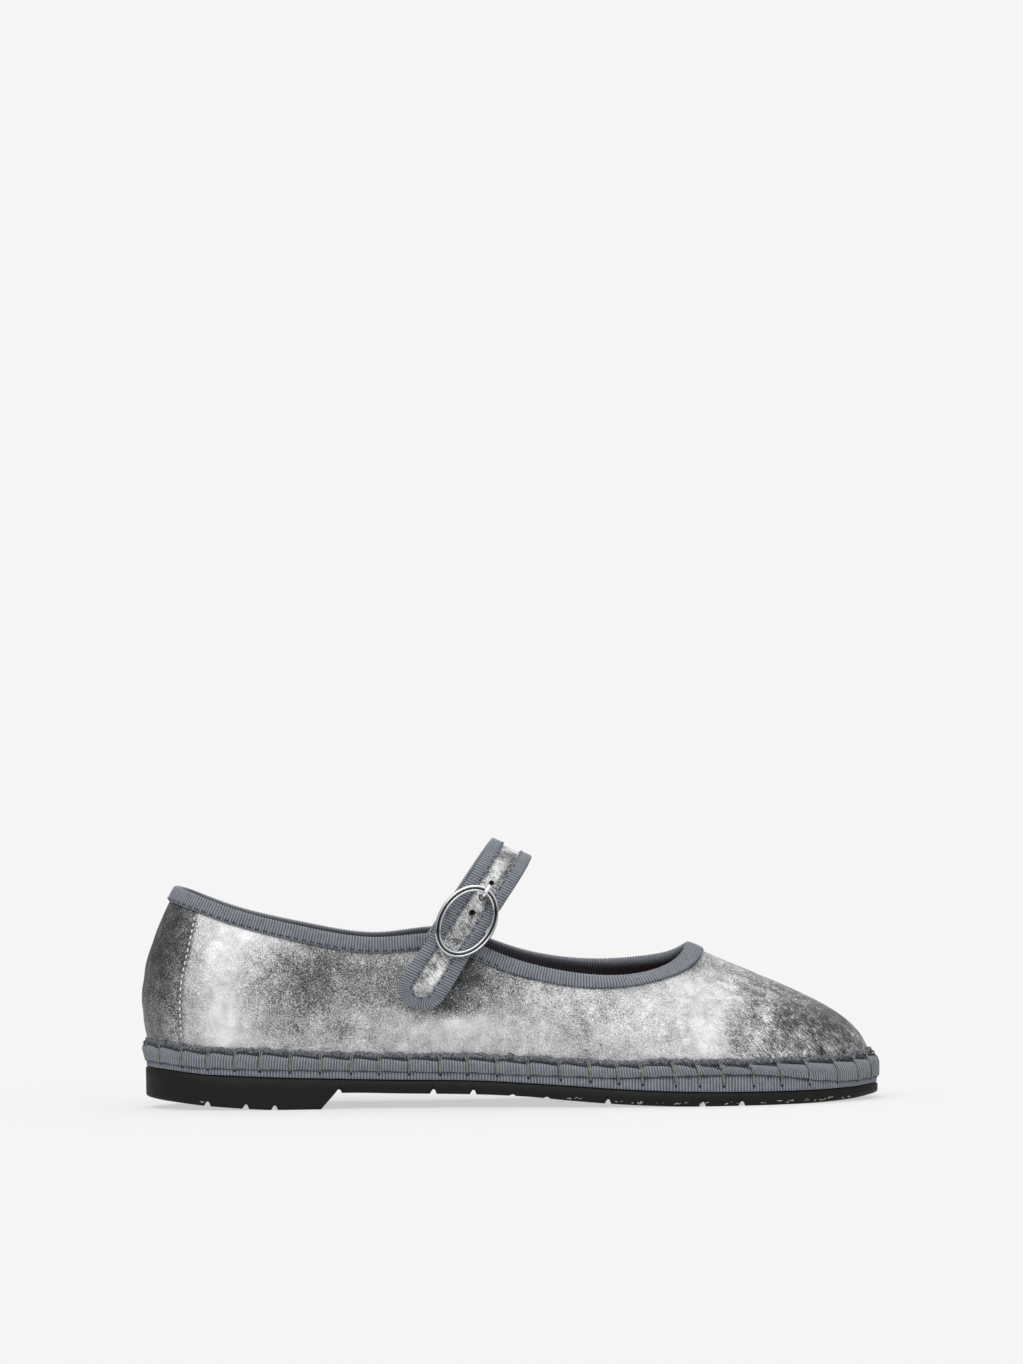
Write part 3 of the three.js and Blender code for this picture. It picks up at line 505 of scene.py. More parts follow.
def relief(u, v, points):
    """Creases, the heel seam and the gathers over the rand, in millimetres off the wall."""
    height = np.zeros(len(points))
    for x0, z0, x1, z1, wide, rise, side in CREASES:
        way = np.array([x1 - x0, z1 - z0])
        spot = np.stack([points[:, 0] - x0, points[:, 2] - z0], axis=1)
        t = np.clip(spot @ way / (way @ way), 0, 1)
        off = np.linalg.norm(spot - t[:, None] * way, axis=1)
        on = medial_share(points) if side > 0 else 1 - medial_share(points)
        height += rise * on * bell(off, wide) * (0.35 + 0.65 * np.sin(math.pi * np.clip(t, 0.08, 0.92)))
    panel, distance = heel_panel(u, v)
    height += 0.12 * panel - 0.4 * bell(distance + 0.8, 0.4) - 0.12 * bell(distance - 0.1, 0.6)
    over = points[:, 2] - foot(points[:, 0]) - ribbon_line(points[:, 0]) - 1.5
    height -= 0.22 * gather(u) * bell(np.clip(over, 0, None), 4.0)
    return height * ramp_up(1 - v, 0, 0.08)


# The solids stand centred on the floor, so the same step is taken here, found from the upper's own net
NODE_COLUMNS = 72
node_rows = np.array([0, 0.06, 0.14, 0.24, 0.35, 0.47, 0.59, 0.71, 0.82, 0.92, 1])
node_wall = bare_wall(np.arange(NODE_COLUMNS)[:, None] / NODE_COLUMNS, node_rows[None, :])
shift = np.array(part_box("upper")[0]) / MM - node_wall.min(axis=(0, 1))
shift[2] = 0


# Meshes

def put(bm, name):
    """Writes the mesh as an object of the scene, at the origin."""
    mesh = bpy.data.meshes.new(name)
    bm.to_mesh(mesh)
    bm.free()
    made = bpy.data.objects.new(name, mesh)
    bpy.context.scene.collection.objects.link(made)
    return made


def join(bm, name, material, replaced=(), smooth=True):
    """Writes the mesh as a piece of the shoe that rides on its body."""
    piece = put(bm, name)
    piece.data.materials.append(material)
    piece.data.polygons.foreach_set("use_smooth", [smooth] * len(piece.data.polygons))
    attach(piece, "root")
    if replaced:
        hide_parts(*replaced)
    return piece


def sheet(bm, columns, rows, place, marks=()):
    """A grid laid on place(s, t), s and t from 0 to 1, with its lay in millimetres as UV.

    place returns the points and the UV, and marks names vertex values that it returns after them.
    """
    uv_layer = bm.loops.layers.uv.get("lay") or bm.loops.layers.uv.new("lay")
    layers = [bm.verts.layers.float.get(m) or bm.verts.layers.float.new(m) for m in marks]
    made = bmesh.ops.create_grid(bm, x_segments=columns, y_segments=rows, size=0.5)["verts"]
    flat = np.array([v.co for v in made])
    s = whole(flat[:, 0] + 0.5, columns) / columns
    t = whole(flat[:, 1] + 0.5, rows) / rows
    points, lay, *values = place(s, t)
    lay_of = dict(zip(made, lay))
    for k, vert in enumerate(made):
        vert.co = (points[k] + shift) * MM
        for layer, value in zip(layers, values):
            vert[layer] = value[k]
    for face in {f for v in made for f in v.link_faces}:
        for loop in face.loops:
            loop[uv_layer].uv = lay_of[loop.vert]
    return made


def close(bm, gap=1e-6):
    bmesh.ops.remove_doubles(bm, verts=bm.verts, dist=gap)
    bmesh.ops.recalc_face_normals(bm, faces=bm.faces)


def cap(bm):
    """Faces over the open ends."""
    bmesh.ops.holes_fill(bm, edges=[e for e in bm.edges if e.is_boundary], sides=0)
    bmesh.ops.recalc_face_normals(bm, faces=bm.faces)


def join_threads(bm, name, material):
    close(bm, THREAD_GAP)
    return join(bm, name, material)


def whole(share, last):
    """The whole row or column at that share of the way to the last one."""
    return np.round(share * last).astype(int)


def oval(wide, high, sides):
    """Section round an oval of those half sizes."""
    turn = np.arange(sides) / sides * 2 * math.pi
    return np.stack([wide * np.cos(turn), high * np.sin(turn)], axis=1)


def strand(bm, points, normal, radius, sides=6):
    """A thread along points, rounded off at both ends, laid over a surface with that normal."""
    steps = len(points) - 1
    tangent = unit(np.gradient(points, axis=0))
    side = unit(np.cross(tangent, normal))
    face = np.cross(side, tangent)

    def place(s, t):
        i = whole(s, steps)
        angle = t * 2 * math.pi
        from_end = np.minimum(i, steps - i)
        thick = radius * np.where(from_end == 0, 0.02, np.where(from_end == 1, 0.85, 1))
        ring = side[i] * np.cos(angle)[:, None] + face[i] * np.sin(angle)[:, None]
        return points[i] + ring * thick[:, None], np.stack([s * steps, t], axis=1)
    return sheet(bm, steps, sides, place)


# Materials

def rgb(red, green, blue):
    """Linear colour from the 0 to 255 values that a screen shows."""
    return tuple((((c / 255) + 0.055) / 1.055) ** 2.4 if c > 10 else c / 3294 for c in (red, green, blue))


class Finish:
    """A node material with one Principled shader, built a node at a time."""

    def __init__(self, name, **sockets):
        self.material = bpy.data.materials.new(name)
        self.material.use_nodes = True
        self.tree = self.material.node_tree
        self.shader = self.tree.nodes["Principled BSDF"]
        for key, value in sockets.items():
            socket = self.shader.inputs[key.replace("_", " ")]
            socket.default_value = (*value, 1) if isinstance(value, tuple) else value

    def add(self, kind, *links, out=0, **settings):
        node = self.tree.nodes.new("ShaderNode" + kind)
        for key, value in settings.items():
            setattr(node, key, value)
        for index, value in enumerate(links):
            self.set(node.inputs[index], value)
        return node.outputs[out]

    def set(self, socket, value):
        if value is None:
            return
        if isinstance(value, bpy.types.NodeSocket):
            self.tree.links.new(value, socket)
        elif isinstance(value, tuple) and len(value) == 3 and socket.type == "RGBA":
            socket.default_value = (*value, 1)
        else:
            socket.default_value = value

    def math(self, operation, *values):
        return self.add("Math", *values, operation=operation)

    def mix(self, share, first, second):
        return self.add("Mix", share, None, None, None, None, None, first, second, data_type="RGBA", out=2)

    def where(self):
        return self.tree.nodes.new("ShaderNodeTexCoord").outputs["Object"]

    def lay(self):
        return self.add("UVMap", uv_map="lay")

    def value(self, name):
        node = self.tree.nodes.new("ShaderNodeAttribute")
        node.attribute_name = name
        return node.outputs["Fac"]

    def drawn(self, vector, length, turn):
        """Stretches a texture along z by that length, then turns it about y."""
        node = self.tree.nodes.new("ShaderNodeMapping")
        node.vector_type = "TEXTURE"
        self.set(node.inputs["Vector"], vector)
        node.inputs["Scale"].default_value = (1, 1, length)
        node.inputs["Rotation"].default_value = (0, math.radians(turn), 0)
        return node.outputs[0]

    def noise(self, vector, scale, detail=2.0, rough=0.5, distortion=0.0):
        node = self.tree.nodes.new("ShaderNodeTexNoise")
        self.set(node.inputs["Vector"], vector)
        node.inputs["Scale"].default_value = scale
        node.inputs["Detail"].default_value = detail
        node.inputs["Roughness"].default_value = rough
        node.inputs["Distortion"].default_value = distortion
        return node.outputs[0]

    def speck(self, *noise):
        """Noise about nought."""
        return self.math("SUBTRACT", self.noise(*noise), 0.5)

    def ramp(self, value, *stops):
        node = self.tree.nodes.new("ShaderNodeValToRGB")
        self.set(node.inputs[0], value)
        band = node.color_ramp
        while len(band.elements) < len(stops):
            band.elements.new(0.5)
        for element, (place, colour) in zip(band.elements, stops):
            element.position = place
            element.color = (*colour, 1)
        return node.outputs[0]

    def bump(self, height, strength, distance):
        node = self.tree.nodes.new("ShaderNodeBump")
        node.inputs["Strength"].default_value = strength
        node.inputs["Distance"].default_value = distance
        self.set(node.inputs["Height"], height)
        self.tree.links.new(node.outputs[0], self.shader.inputs["Normal"])

    def link(self, name, value):
        self.set(self.shader.inputs[name], value)


# Velvet from dark to bright, as its nap and painted shadow set it: place on the ramp, colour
VELVET_TONES = (
    (0.0, (0.014, 0.015, 0.017)), (0.15, (0.035, 0.036, 0.038)), (0.395, (0.15, 0.153, 0.156)),
    (0.605, (0.4, 0.402, 0.407)), (0.85, (0.68, 0.68, 0.69)), (1.0, (0.9, 0.9, 0.9)),
)


def make_velvet():
    f = Finish("silver velvet", Roughness=0.5, Metallic=0.35)
    where = f.where()
    streak = f.value("streak")
    speckle = f.speck(where, 2300, 2, 0.65)
    blotch = f.speck(where, 230, 4, 0.62, 0.4)
    strands = f.speck(f.drawn(where, 5, -38), 1700, 2, 0.6)
    nap_and_shade = f.value("nap_and_shade")
    cloud = f.speck(f.drawn(where, 1.8, 12), 75, 3, 0.55)
    middle = f.math("SUBTRACT", nap_and_shade, 0.3)
    fine = f.math("MULTIPLY_ADD", f.math("MULTIPLY", middle, middle), -4.4, 2.5)
    coarse = f.math("MULTIPLY_ADD", streak, 0.9, 0.85)
    grain = f.math("ADD", f.math("MULTIPLY", speckle, fine),
                   f.math("ADD", f.math("MULTIPLY", blotch, coarse), f.math("MULTIPLY", cloud, 0.45)))
    lines = f.math("MULTIPLY", strands, f.math("MULTIPLY", streak, 1.6))
    shade = f.math("ADD", nap_and_shade, f.math("ADD", grain, lines))
    f.link("Base Color", f.ramp(f.math("MULTIPLY_ADD", shade, 0.7, 0.15), *VELVET_TONES))
    f.bump(f.math("ADD", speckle, f.math("MULTIPLY", blotch, 0.6)), 0.35, 0.0004)
    return f.material


def make_ribbon(name, crest, valley):
    f = Finish(name, Roughness=0.75, Sheen_Weight=0.2)
    rib = f.math("COSINE", f.math("MULTIPLY", f.add("SeparateXYZ", f.lay()), 2 * math.pi))
    where = f.where()
    mottle = f.speck(where, 420, 3, 0.6)
    yarn = f.speck(where, 2600, 2, 0.6)
    level = f.math("ADD", f.math("MULTIPLY_ADD", rib, 0.5, 0.5), f.math("MULTIPLY_ADD", mottle, 0.9, yarn))
    # Crests lighter and valleys darker: painted light and shade over the ribs, on top of their relief
    weave = f.ramp(level, (0.0, valley), (0.9, crest))
    # Mixes toward a near black blue where the collar ribbon carries painted shade inside the collar
    f.link("Base Color", f.mix(f.value("tone_and_inner_shade"), weave, rgb(22, 25, 31)))
    f.bump(f.math("ADD", rib, yarn), 0.5, 0.0001)
    return f.material


def make_plain(name, colour, other, roughness, grain, depth, fine=None):
    """A mottled finish of two colours, with a grain that fine and that deep."""
    f = Finish(name, Roughness=roughness)
    where = f.where()
    f.link("Base Color", f.ramp(f.noise(where, fine or grain / 6, 3, 0.6), (0.3, other), (0.7, colour)))
    f.bump(f.noise(where, grain, 3, 0.6), 0.5, depth)
    return f.material


def make_steel():
    f = Finish("polished steel", Roughness=0.1, Metallic=1.0)
    mottle = f.ramp(f.noise(f.where(), 120, 3, 0.6), (0.3, rgb(214, 216, 219)), (0.7, rgb(238, 239, 241)))
    # Painted shade in the groove between the beads: the steel turns near black there
    f.link("Base Color", f.mix(f.value("groove_shade"), mottle, (0.02, 0.02, 0.022)))
    return f.material


velvet = make_velvet()
ribbon = make_ribbon("grosgrain ribbon", rgb(133, 138, 146), rgb(71, 76, 84))
lining = make_plain("burgundy lining", rgb(128, 36, 48), rgb(96, 24, 34), 0.75, 1800, 0.0002)
rubber = make_plain("black rubber", rgb(17, 19, 18), rgb(12, 14, 13), 0.6, 900, 0.0001)
rubber.node_tree.nodes["Principled BSDF"].inputs["Specular IOR Level"].default_value = 0.22
steel = make_steel()
stitch_thread = make_plain("stitch thread", rgb(134, 136, 126), rgb(98, 100, 93), 0.8, 3000, 0.0001)
# Real dark threads, and also the thin strand of painted shadow beside each blanket stitch
dark_thread_and_shadow = make_plain("dark thread and stitch shadow", rgb(52, 56, 66), rgb(38, 41, 50), 0.8, 3000, 0.0001)
shadow = make_plain("hole shadow", rgb(20, 21, 25), rgb(14, 15, 18), 0.95, 3000, 0.0001)
# Velvet of the fold behind the rand, darkened as painted shade, with pale specks
velvet_fold_shade = make_plain("velvet fold in painted shade", rgb(140, 143, 149), rgb(22, 24, 28), 0.85, 2600, 0.0004, 1700)
fleck = make_plain("pale fleck", rgb(206, 192, 170), rgb(128, 112, 98), 0.8, 2000, 0.0001)
tab_weave = make_plain("tab weave", rgb(122, 128, 139), rgb(80, 86, 97), 0.8, 2600, 0.0002)
pale_thread = make_plain("silver thread", rgb(225, 226, 228), rgb(190, 192, 195), 0.6, 3000, 0.0001)


# Upper

UPPER_LAY = (600, 70)
UPPER_COLUMNS = 560
LINING_COLUMNS = 288


def upper_velvet():
    outer, inner = 61, 7
    shares = np.concatenate([np.linspace(0, 1, outer), np.linspace(1, 0, inner), [0]])
    stands = np.concatenate([np.zeros(outer), np.full(inner, -1.0), [0]])
    step, _ = even(lambda u: bare_wall(u, np.full(len(u), 0.25)))

    def place(s, t):
        row = whole(t, len(shares) - 1)
        u = step(s)
        v, out = shares[row], stands[row]
        bare = bare_wall(u, v)
        points = wall(u, v, out + np.where(out == 0, relief(u, v, bare), 0))
        return points, np.stack([s, v], axis=1) * UPPER_LAY, *nap_of(u, v, bare)

    bm = bmesh.new()
    sheet(bm, UPPER_COLUMNS, len(shares) - 1, place, ("nap_and_shade", "streak"))
    close(bm)
    return join(bm, "upper_velvet", velvet, ("upper",))


def upper_lining():
    low, high, rows, back = 0.02, 0.995, 25, -1.05
    shares = np.concatenate([np.linspace(low, high, rows), np.linspace(high, low, rows), [low]])
    stands = np.concatenate([np.full(rows, back), np.full(rows, -WALL), [back]])

    def place(s, t):
        row = whole(t, len(shares) - 1)
        return wall(s, shares[row], stands[row]), np.stack([s, shares[row]], axis=1) * UPPER_LAY

    bm = bmesh.new()
    sheet(bm, LINING_COLUMNS, len(shares) - 1, place)
    close(bm)
    return join(bm, "upper_lining", lining)


# Ribbons round the shoe

RIB_PITCH = 0.98
MIDSOLE_RIB_PITCH = 1.08
RIB_HEIGHT = 0.1


def ribs(length, pitch=RIB_PITCH):
    """Columns, the rise and fall of a ribbon's cross ribs along that length, and how many ribs."""
    count = round(length / pitch)
    return 6 * count, lambda s: RIB_HEIGHT * np.cos(2 * math.pi * count * s), count


# The ribbon lies this much wider at the throat than at the heel
THROAT_EXTRA = 0.7


def collar_binding():
    near, far = CLEARANCE * 0.5, CLEARANCE + RIBBON
    step, length = even(topline)
    columns, wave, count = ribs(length)
    # Share of the way from the lower edge to the crown, side (1 outer, -1 inner), reach, rise
    section = np.array([
        (0, 1, near, 0), (-0.04, 1, 0.6 * far, 0), (0.1, 1, far - 0.08, 0), (0.5, 1, far + 0.05, 0),
        (0.9, 1, far, 0), (1, 1, 0.8 * far, 0.55 * far), (1, 1, 0.2 * far, 0.95 * far),
        (1, -1, WALL / 2, far), (1, -1, WALL + 0.2 * far, 0.9 * far), (1, -1, WALL + 0.85 * far, 0.5 * far),
        (0.85, -1, WALL + far, 0), (0.4, -1, WALL + far, 0), (0, -1, WALL + far, 0),
        (0, -1, WALL + near, 0), (1, -1, WALL + near, near), (1, 1, near, near), (0, 1, near, 0),
    ])

    def place(s, t):
        climb, side, reach, rise = section[whole(t, len(section) - 1)].T
        u = step(s)
        crown = topline(u)
        aside, edge = below_top(u, COLLAR_RIBBON + THROAT_EXTRA * ramp_up(crown[:, 0], 0, 40))
        v = edge + (1 - edge) * climb
        face = (reach > near + WALL) | ((side > 0) & (reach > near))
        stand = side * (reach + wave(s) * face)
        up = unit(crown - bare_wall(u, np.full(len(u), 1 - PROBE)))
        points = wall(aside + (u - aside) * climb, v, stand) + up * (rise * (1 + wave(s)))[:, None]
        # Painted shade on the ribbon's inner face and the inner half of its crown, and a slight even
        # darkening of its outer face
        tone_and_inner_shade = np.where(side < 0, np.interp(reach, (0.5 * WALL, WALL), (0.4, 0.86)), 0.08)
        return points, np.stack([s * count, t * 2 * COLLAR_RIBBON], axis=1), tone_and_inner_shade

    bm = bmesh.new()
    sheet(bm, columns, len(section) - 1, place, ("tone_and_inner_shade",))
    close(bm)
    return join(bm, "collar_ribbon", ribbon, ("collar_binding",))


def ribbon_top(u):
    """Height of the rand ribbon's top edge, which falls from one blanket stitch to the next."""
    fall = np.interp(np.mod(stitch_phase(u), 1), (0, 0.12, 1), (-0.5, 0.5, -0.5))
    return ribbon_line(feather(u)[..., 0]) + 0.9 * fall


# How far the ribs of the rand lean along it: x, lean
RAND_LEAN = np.array([(-110, -0.24), (-60, -0.16), (-20, 0), (50, 0.02), (80, 0.4), (130, 0.36)])
# Face of the rand ribbon from its lower edge up: share of its height, reach off the wall, swell
RAND_FACE = [
    (0, 2.12, 0), (0, 2.4, 0), (0.03, 2.52, 0), (0.17, 2.6, 0.2), (0.4, 2.6, 0.35), (0.58, 2.58, 0.38),
    (0.74, 2.45, 0.32), (0.86, 2.2, 0.2), (0.94, 1.85, 0.08), (0.99, 1.3, 0), (0.97, 0.75, 0),
]
RAND_SHOWN = slice(1, 10)


def rand_section(u, puff):
    """Rand ribbon round its section: heights over the foot of the upper, and reaches off the wall."""
    low = seam_height(feather(u)[..., 0])
    top = ribbon_top(u)
    section = [(low + share * (top - low), reach + lift * puff) for share, reach, lift in RAND_FACE]
    inside = np.maximum(low, 0.05)
    foot_in = RAND_FACE[0][1]
    section += [(0.8 * top, 0.05), (inside + 0.3, 0.02), (inside, 0.02), (inside, foot_in), (low, foot_in)]
    return (np.array([np.broadcast_to(row[k], u.shape) for row in section]) for k in (0, 1))


def off_rand(u, heights, reach):
    """Places at those heights over the foot of the upper, that reach out from the wall."""
    spot = wall(u, above_foot(u, np.maximum(heights, 0.01)), np.full(len(u), CLEARANCE))
    spot[:, 2] = feather(u)[:, 2] + heights
    return spot + outward(u) * reach[:, None]


def rand_face(u, height, lift):
    """A place on the outside of the rand or, below it, of the midsole ribbon."""
    u = np.atleast_1d(np.asarray(u, float))
    height = np.broadcast_to(np.asarray(height, float), u.shape)
    heights, reaches = (values[RAND_SHOWN] for values in rand_section(u, 0))
    reach = np.array([np.interp(height[k], heights[:, k], reaches[:, k]) for k in range(len(u))])
    return off_rand(u, height, np.where(height < heights[0], 2.05, reach) + lift)


def rand_ribbon():
    columns, wave, count = ribs(rand_length)
    rows = len(next(rand_section(np.zeros(1), 0))) - 1
    around = 14

    def place(s, t):
        row = whole(t, rows)
        shown = np.isin(row, range(rows)[RAND_SHOWN])
        run = s * rand_length
        straight = rand_share(run)
        puff = 1 - bell(np.mod(stitch_phase(straight) + 0.5, 1) - 0.5, 0.16)
        heights, reach = (values[row, np.arange(len(s))] for values in rand_section(straight, puff))
        lean = np.interp(feather(straight)[:, 0], *RAND_LEAN.T)
        u = rand_share(run - lean * heights * (0.3 + 0.7 * np.clip(heights, 0, None) / RAND_HEIGHT))
        return off_rand(u, heights, reach + wave(s) * shown), np.stack([s * count, t * around], axis=1)

    bm = bmesh.new()
    sheet(bm, columns, rows, place)
    close(bm)
    return join(bm, "rand_ribbon", ribbon, ("rand",))


def fold_shut(bm, ring):
    """Faces across an open ring of an even number of verts, from each one to its mirror."""
    half = len(ring) // 2
    for i in range(half):
        corners = [ring[i], ring[i + 1], ring[-i - 1], ring[-i]] if i else [ring[0], ring[1], ring[-1]]
        corners = list(dict.fromkeys(corners))
        if len(corners) > 2:
            bm.faces.new(corners)


RAND_STAND = RAND + CLEARANCE
MIDSOLE_EDGE = RAND_STAND - 0.25 * RAND
RUBBER_EDGE = RAND_STAND - 0.12 * RAND
SOLE_COLUMNS = 360
sole_step, sole_length = even(lambda u: feather_out(u, 2))


def plate(columns, rows, wave=np.zeros_like, count=1):
    """A sole layer: rows of distance outside the feather line and height(x), shut above and below."""
    outs = np.array([row[0] for row in rows])

    def place(s, t):
        row = whole(t, len(rows) - 1)
        points = feather_out(sole_step(s), outs[row] + wave(s))
        heights = np.array([height(points[:, 0]) for _, height in rows])
        points[:, 2] = heights[row, np.arange(len(s))]
        return points, np.stack([s * count, points[:, 2]], axis=1)

    bm = bmesh.new()
    made = sheet(bm, columns, len(rows) - 1, place)
    fold_shut(bm, made[:columns])
    fold_shut(bm, made[-columns - 1:-1])
    close(bm)
    return bm


def midsole_ribbon():
    columns, wave, count = ribs(sole_length, MIDSOLE_RIB_PITCH)

    def base(x):
        return rubber_top(x) + CLEARANCE

    def lip(x):
        return np.maximum(seam_height(x) + 0.3, 0)

    def at(share, inset):
        return MIDSOLE_EDGE - inset * MIDSOLE, lambda x: base(x) + share * (MIDSOLE + lip(x))

    rows = [at(0, 0.06), at(0.05, 0.01), at(0.3, 0), at(0.6, 0), at(1, 0), at(1, 0.2)]
    rows.append((MIDSOLE_EDGE - 0.2 * MIDSOLE, lambda x: base(x) + 0.97 * MIDSOLE))
    bm = plate(columns, rows, lambda s: 0.9 * wave(s), count)
    return join(bm, "midsole_ribbon", ribbon, ("midsole",))


def sock_lining():
    edge = -(WALL + 2 * CLEARANCE)
    rows = [
        (edge, foot),
        (edge, lambda x: foot(x) + INSOLE - 0.5),
        (edge - 0.5, lambda x: foot(x) + INSOLE),
        (edge - 8, lambda x: foot(x) + INSOLE),
    ]
    return join(plate(LINING_COLUMNS, rows), "sock_lining", lining, ("insole",))


def rubber_sole():
    rounding = 0.9

    def under(x):
        return arch(x) + tread(x)

    rows = [
        (RUBBER_EDGE - rounding, under),
        (RUBBER_EDGE - 0.3 * rounding, lambda x: under(x) + 0.3 * rounding),
        (RUBBER_EDGE, lambda x: under(x) + rounding),
        (RUBBER_EDGE, lambda x: rubber_top(x) - 0.4),
        (RUBBER_EDGE - 0.4, rubber_top),
    ]
    body = join(plate(SOLE_COLUMNS, rows), "rubber_sole", rubber, ("outsole",))

    heel_rows = [
        (RUBBER_EDGE - rounding, tread),
        (RUBBER_EDGE - 0.3 * rounding, lambda x: tread(x) + 0.3 * rounding),
        (RUBBER_EDGE, lambda x: tread(x) + rounding),
        (RUBBER_EDGE, lambda x: under(x) + 1.5 * rounding),
    ]
    bm = plate(SOLE_COLUMNS, heel_rows)
    cut = Vector((to_x(BREAST_ALONG) + shift[0], 0, HEEL_RISE / 2)) * MM
    slant = Vector((HEEL_RISE, 0, -BREAST_SLANT)).normalized()
    geometry = list(bm.verts) + list(bm.edges) + list(bm.faces)
    bmesh.ops.bisect_plane(bm, geom=geometry, plane_co=cut, plane_no=slant, clear_outer=True)
    cap(bm)
    heel = put(bm, "heel")

    bm = bmesh.new()
    for along, share in GROOVES:
        x = to_x(along)
        floor = tread(x) if along < BREAST_ALONG else under(x)
        ends = []
        for side in (-1.5 * BALL_WIDTH, 1.5 * BALL_WIDTH):
            ends.append([bm.verts.new(((x + shift[0] + a * GROOVE_WIDTH) * MM, side * MM,
                                       (float(floor) + b * share * GROOVE_DEPTH) * MM)) for a, b in NOTCH])
        bm.faces.new(ends[0])
        bm.faces.new(ends[1][::-1])
        for k in range(len(NOTCH)):
            bm.faces.new((ends[0][k - 1], ends[0][k], ends[1][k], ends[1][k - 1]))
    bmesh.ops.recalc_face_normals(bm, faces=bm.faces)
    notches = put(bm, "notches")
    combine(body, heel, "UNION")
    combine(body, notches, "DIFFERENCE")
    return body


def combine(piece, other, operation):
    """Adds or takes away the other mesh, which is then gone."""
    step = piece.modifiers.new("combine", "BOOLEAN")
    step.operation = operation
    step.solver = "EXACT"
    step.object = other
    graph = bpy.context.evaluated_depsgraph_get()
    mesh = bpy.data.meshes.new_from_object(piece.evaluated_get(graph), depsgraph=graph)
    piece.modifiers.clear()
    piece.data = mesh
    bpy.data.objects.remove(other)


# Strap

STRAP_UP = np.array([math.sin(STRAP_LEAN), 0, math.cos(STRAP_LEAN)])
STRAP_ACROSS = np.array([math.cos(STRAP_TILT), 0, -math.sin(STRAP_TILT)])
BUCKLE_HEIGHT = SECTIONS[EAR_ROW, 4] * COLLAR_HEIGHT + RING_STAND
STRAP_HALF = STRAP_WIDTH / 2
CORE_FACE = STRAP_THICKNESS / 2
RIBBON_INSIDE = CORE_FACE + CLEARANCE
STRAP_FACE = RIBBON_INSIDE + RIBBON
OVER_COLLAR = RIBBON + CLEARANCE
STAND_OFF = 1.5 * CLEARANCE


def strap_place(height, b):
    return np.array([to_x(BUCKLE_ALONG), 0, BUCKLE_HEIGHT]) + height * STRAP_UP + b * STRAP_ACROSS


def quarter_y(place, side):
    """Y of the upper's outer face, lateral -1 or medial 1, at a place in side view."""
    return float(bare_wall(*side_spot(place[0], place[2], 0.25 if side < 0 else 0.75, 0.8))[1])


def strap_folds(b):
    lateral, medial, free = [], [], []
    for share, over in LATERAL_FOLDS:
        place = strap_place(-share * TIP_REACH, b)
        place[1] = quarter_y(place, -1) - STAND_OFF - STRAP_FACE - over * OVER_COLLAR
        lateral.append(place)
    for share in MEDIAL_FOLDS:
        place = strap_place(-share * SEAM_REACH, b)
        place[1] = quarter_y(place, 1) - WALL - OVER_COLLAR - STAND_OFF - STRAP_FACE
        medial.append(place)
    left, right = lateral[-1][1], medial[0][1]
    for height, spread in ARCH_FOLDS:
        place = strap_place(height * STRAP_RISE, b)
        place[1] = (left + right) / 2 + spread * (right - left) / 2
        free.append(place)
    return np.array(lateral + free + medial)


def through(points, t):
    """Points at shares t of a centripetal curve through points."""
    ends = np.vstack([2 * points[0] - points[1], points, 2 * points[-1] - points[-2]])
    place = t * (len(points) - 1)
    i = np.clip(place.astype(int), 0, len(points) - 2)
    w = (place - i)[:, None]
    p0, p1, p2, p3 = (ends[i + k] for k in range(4))
    pairs = (p0, p1), (p1, p2), (p2, p3)
    d0, d1, d2 = (np.linalg.norm(b - a, axis=1, keepdims=True) ** 0.5 for a, b in pairs)
    m1 = d1 * ((p1 - p0) / d0 - (p2 - p0) / (d0 + d1) + (p2 - p1) / d1)
    m2 = d1 * ((p2 - p1) / d1 - (p3 - p1) / (d1 + d2) + (p3 - p2) / d2)
    return p1 + m1 * w + (-3 * p1 + 3 * p2 - 2 * m1 - m2) * w ** 2 + (2 * p1 - 2 * p2 + m1 + m2) * w ** 3


strap_t = np.linspace(0, 1, 501)
strap_b = np.linspace(-STRAP_HALF, STRAP_HALF, 13)
strap_net = np.stack([through(strap_folds(b), strap_t) for b in strap_b], axis=1)
middle = strap_net[:, len(strap_b) // 2]
middle_run = run_of(middle)
# The soft free end lies a little wider than the rest
strap_net += (strap_net - middle[:, None]) * (0.08 * ramp_up(27 - middle_run, 0, 15))[:, None, None]
strap_faces = unit(np.cross(np.gradient(strap_net, axis=1), np.gradient(strap_net, axis=0)))
strap_length = middle_run[-1]


def strap(a, b, lift):
    """Points at a along the strap from its free end, b across it and lift off its middle layer."""
    a, b, lift = np.broadcast_arrays(np.asarray(a, float), b, lift)
    i = np.interp(a, middle_run, np.arange(len(strap_t)))
    j = np.clip((b + STRAP_HALF) / STRAP_WIDTH, 0, 1) * (len(strap_b) - 1)
    i0 = np.clip(i.astype(int), 0, len(strap_t) - 2)
    j0 = np.clip(j.astype(int), 0, len(strap_b) - 2)
    fi, fj = (i - i0)[..., None], (j - j0)[..., None]
    net = [(grid[i0, j0] * (1 - fi) + grid[i0 + 1, j0] * fi) * (1 - fj)
           + (grid[i0, j0 + 1] * (1 - fi) + grid[i0 + 1, j0 + 1] * fi) * fj
           for grid in (strap_net, strap_faces)]
    return net[0] + unit(net[1]) * lift[..., None]


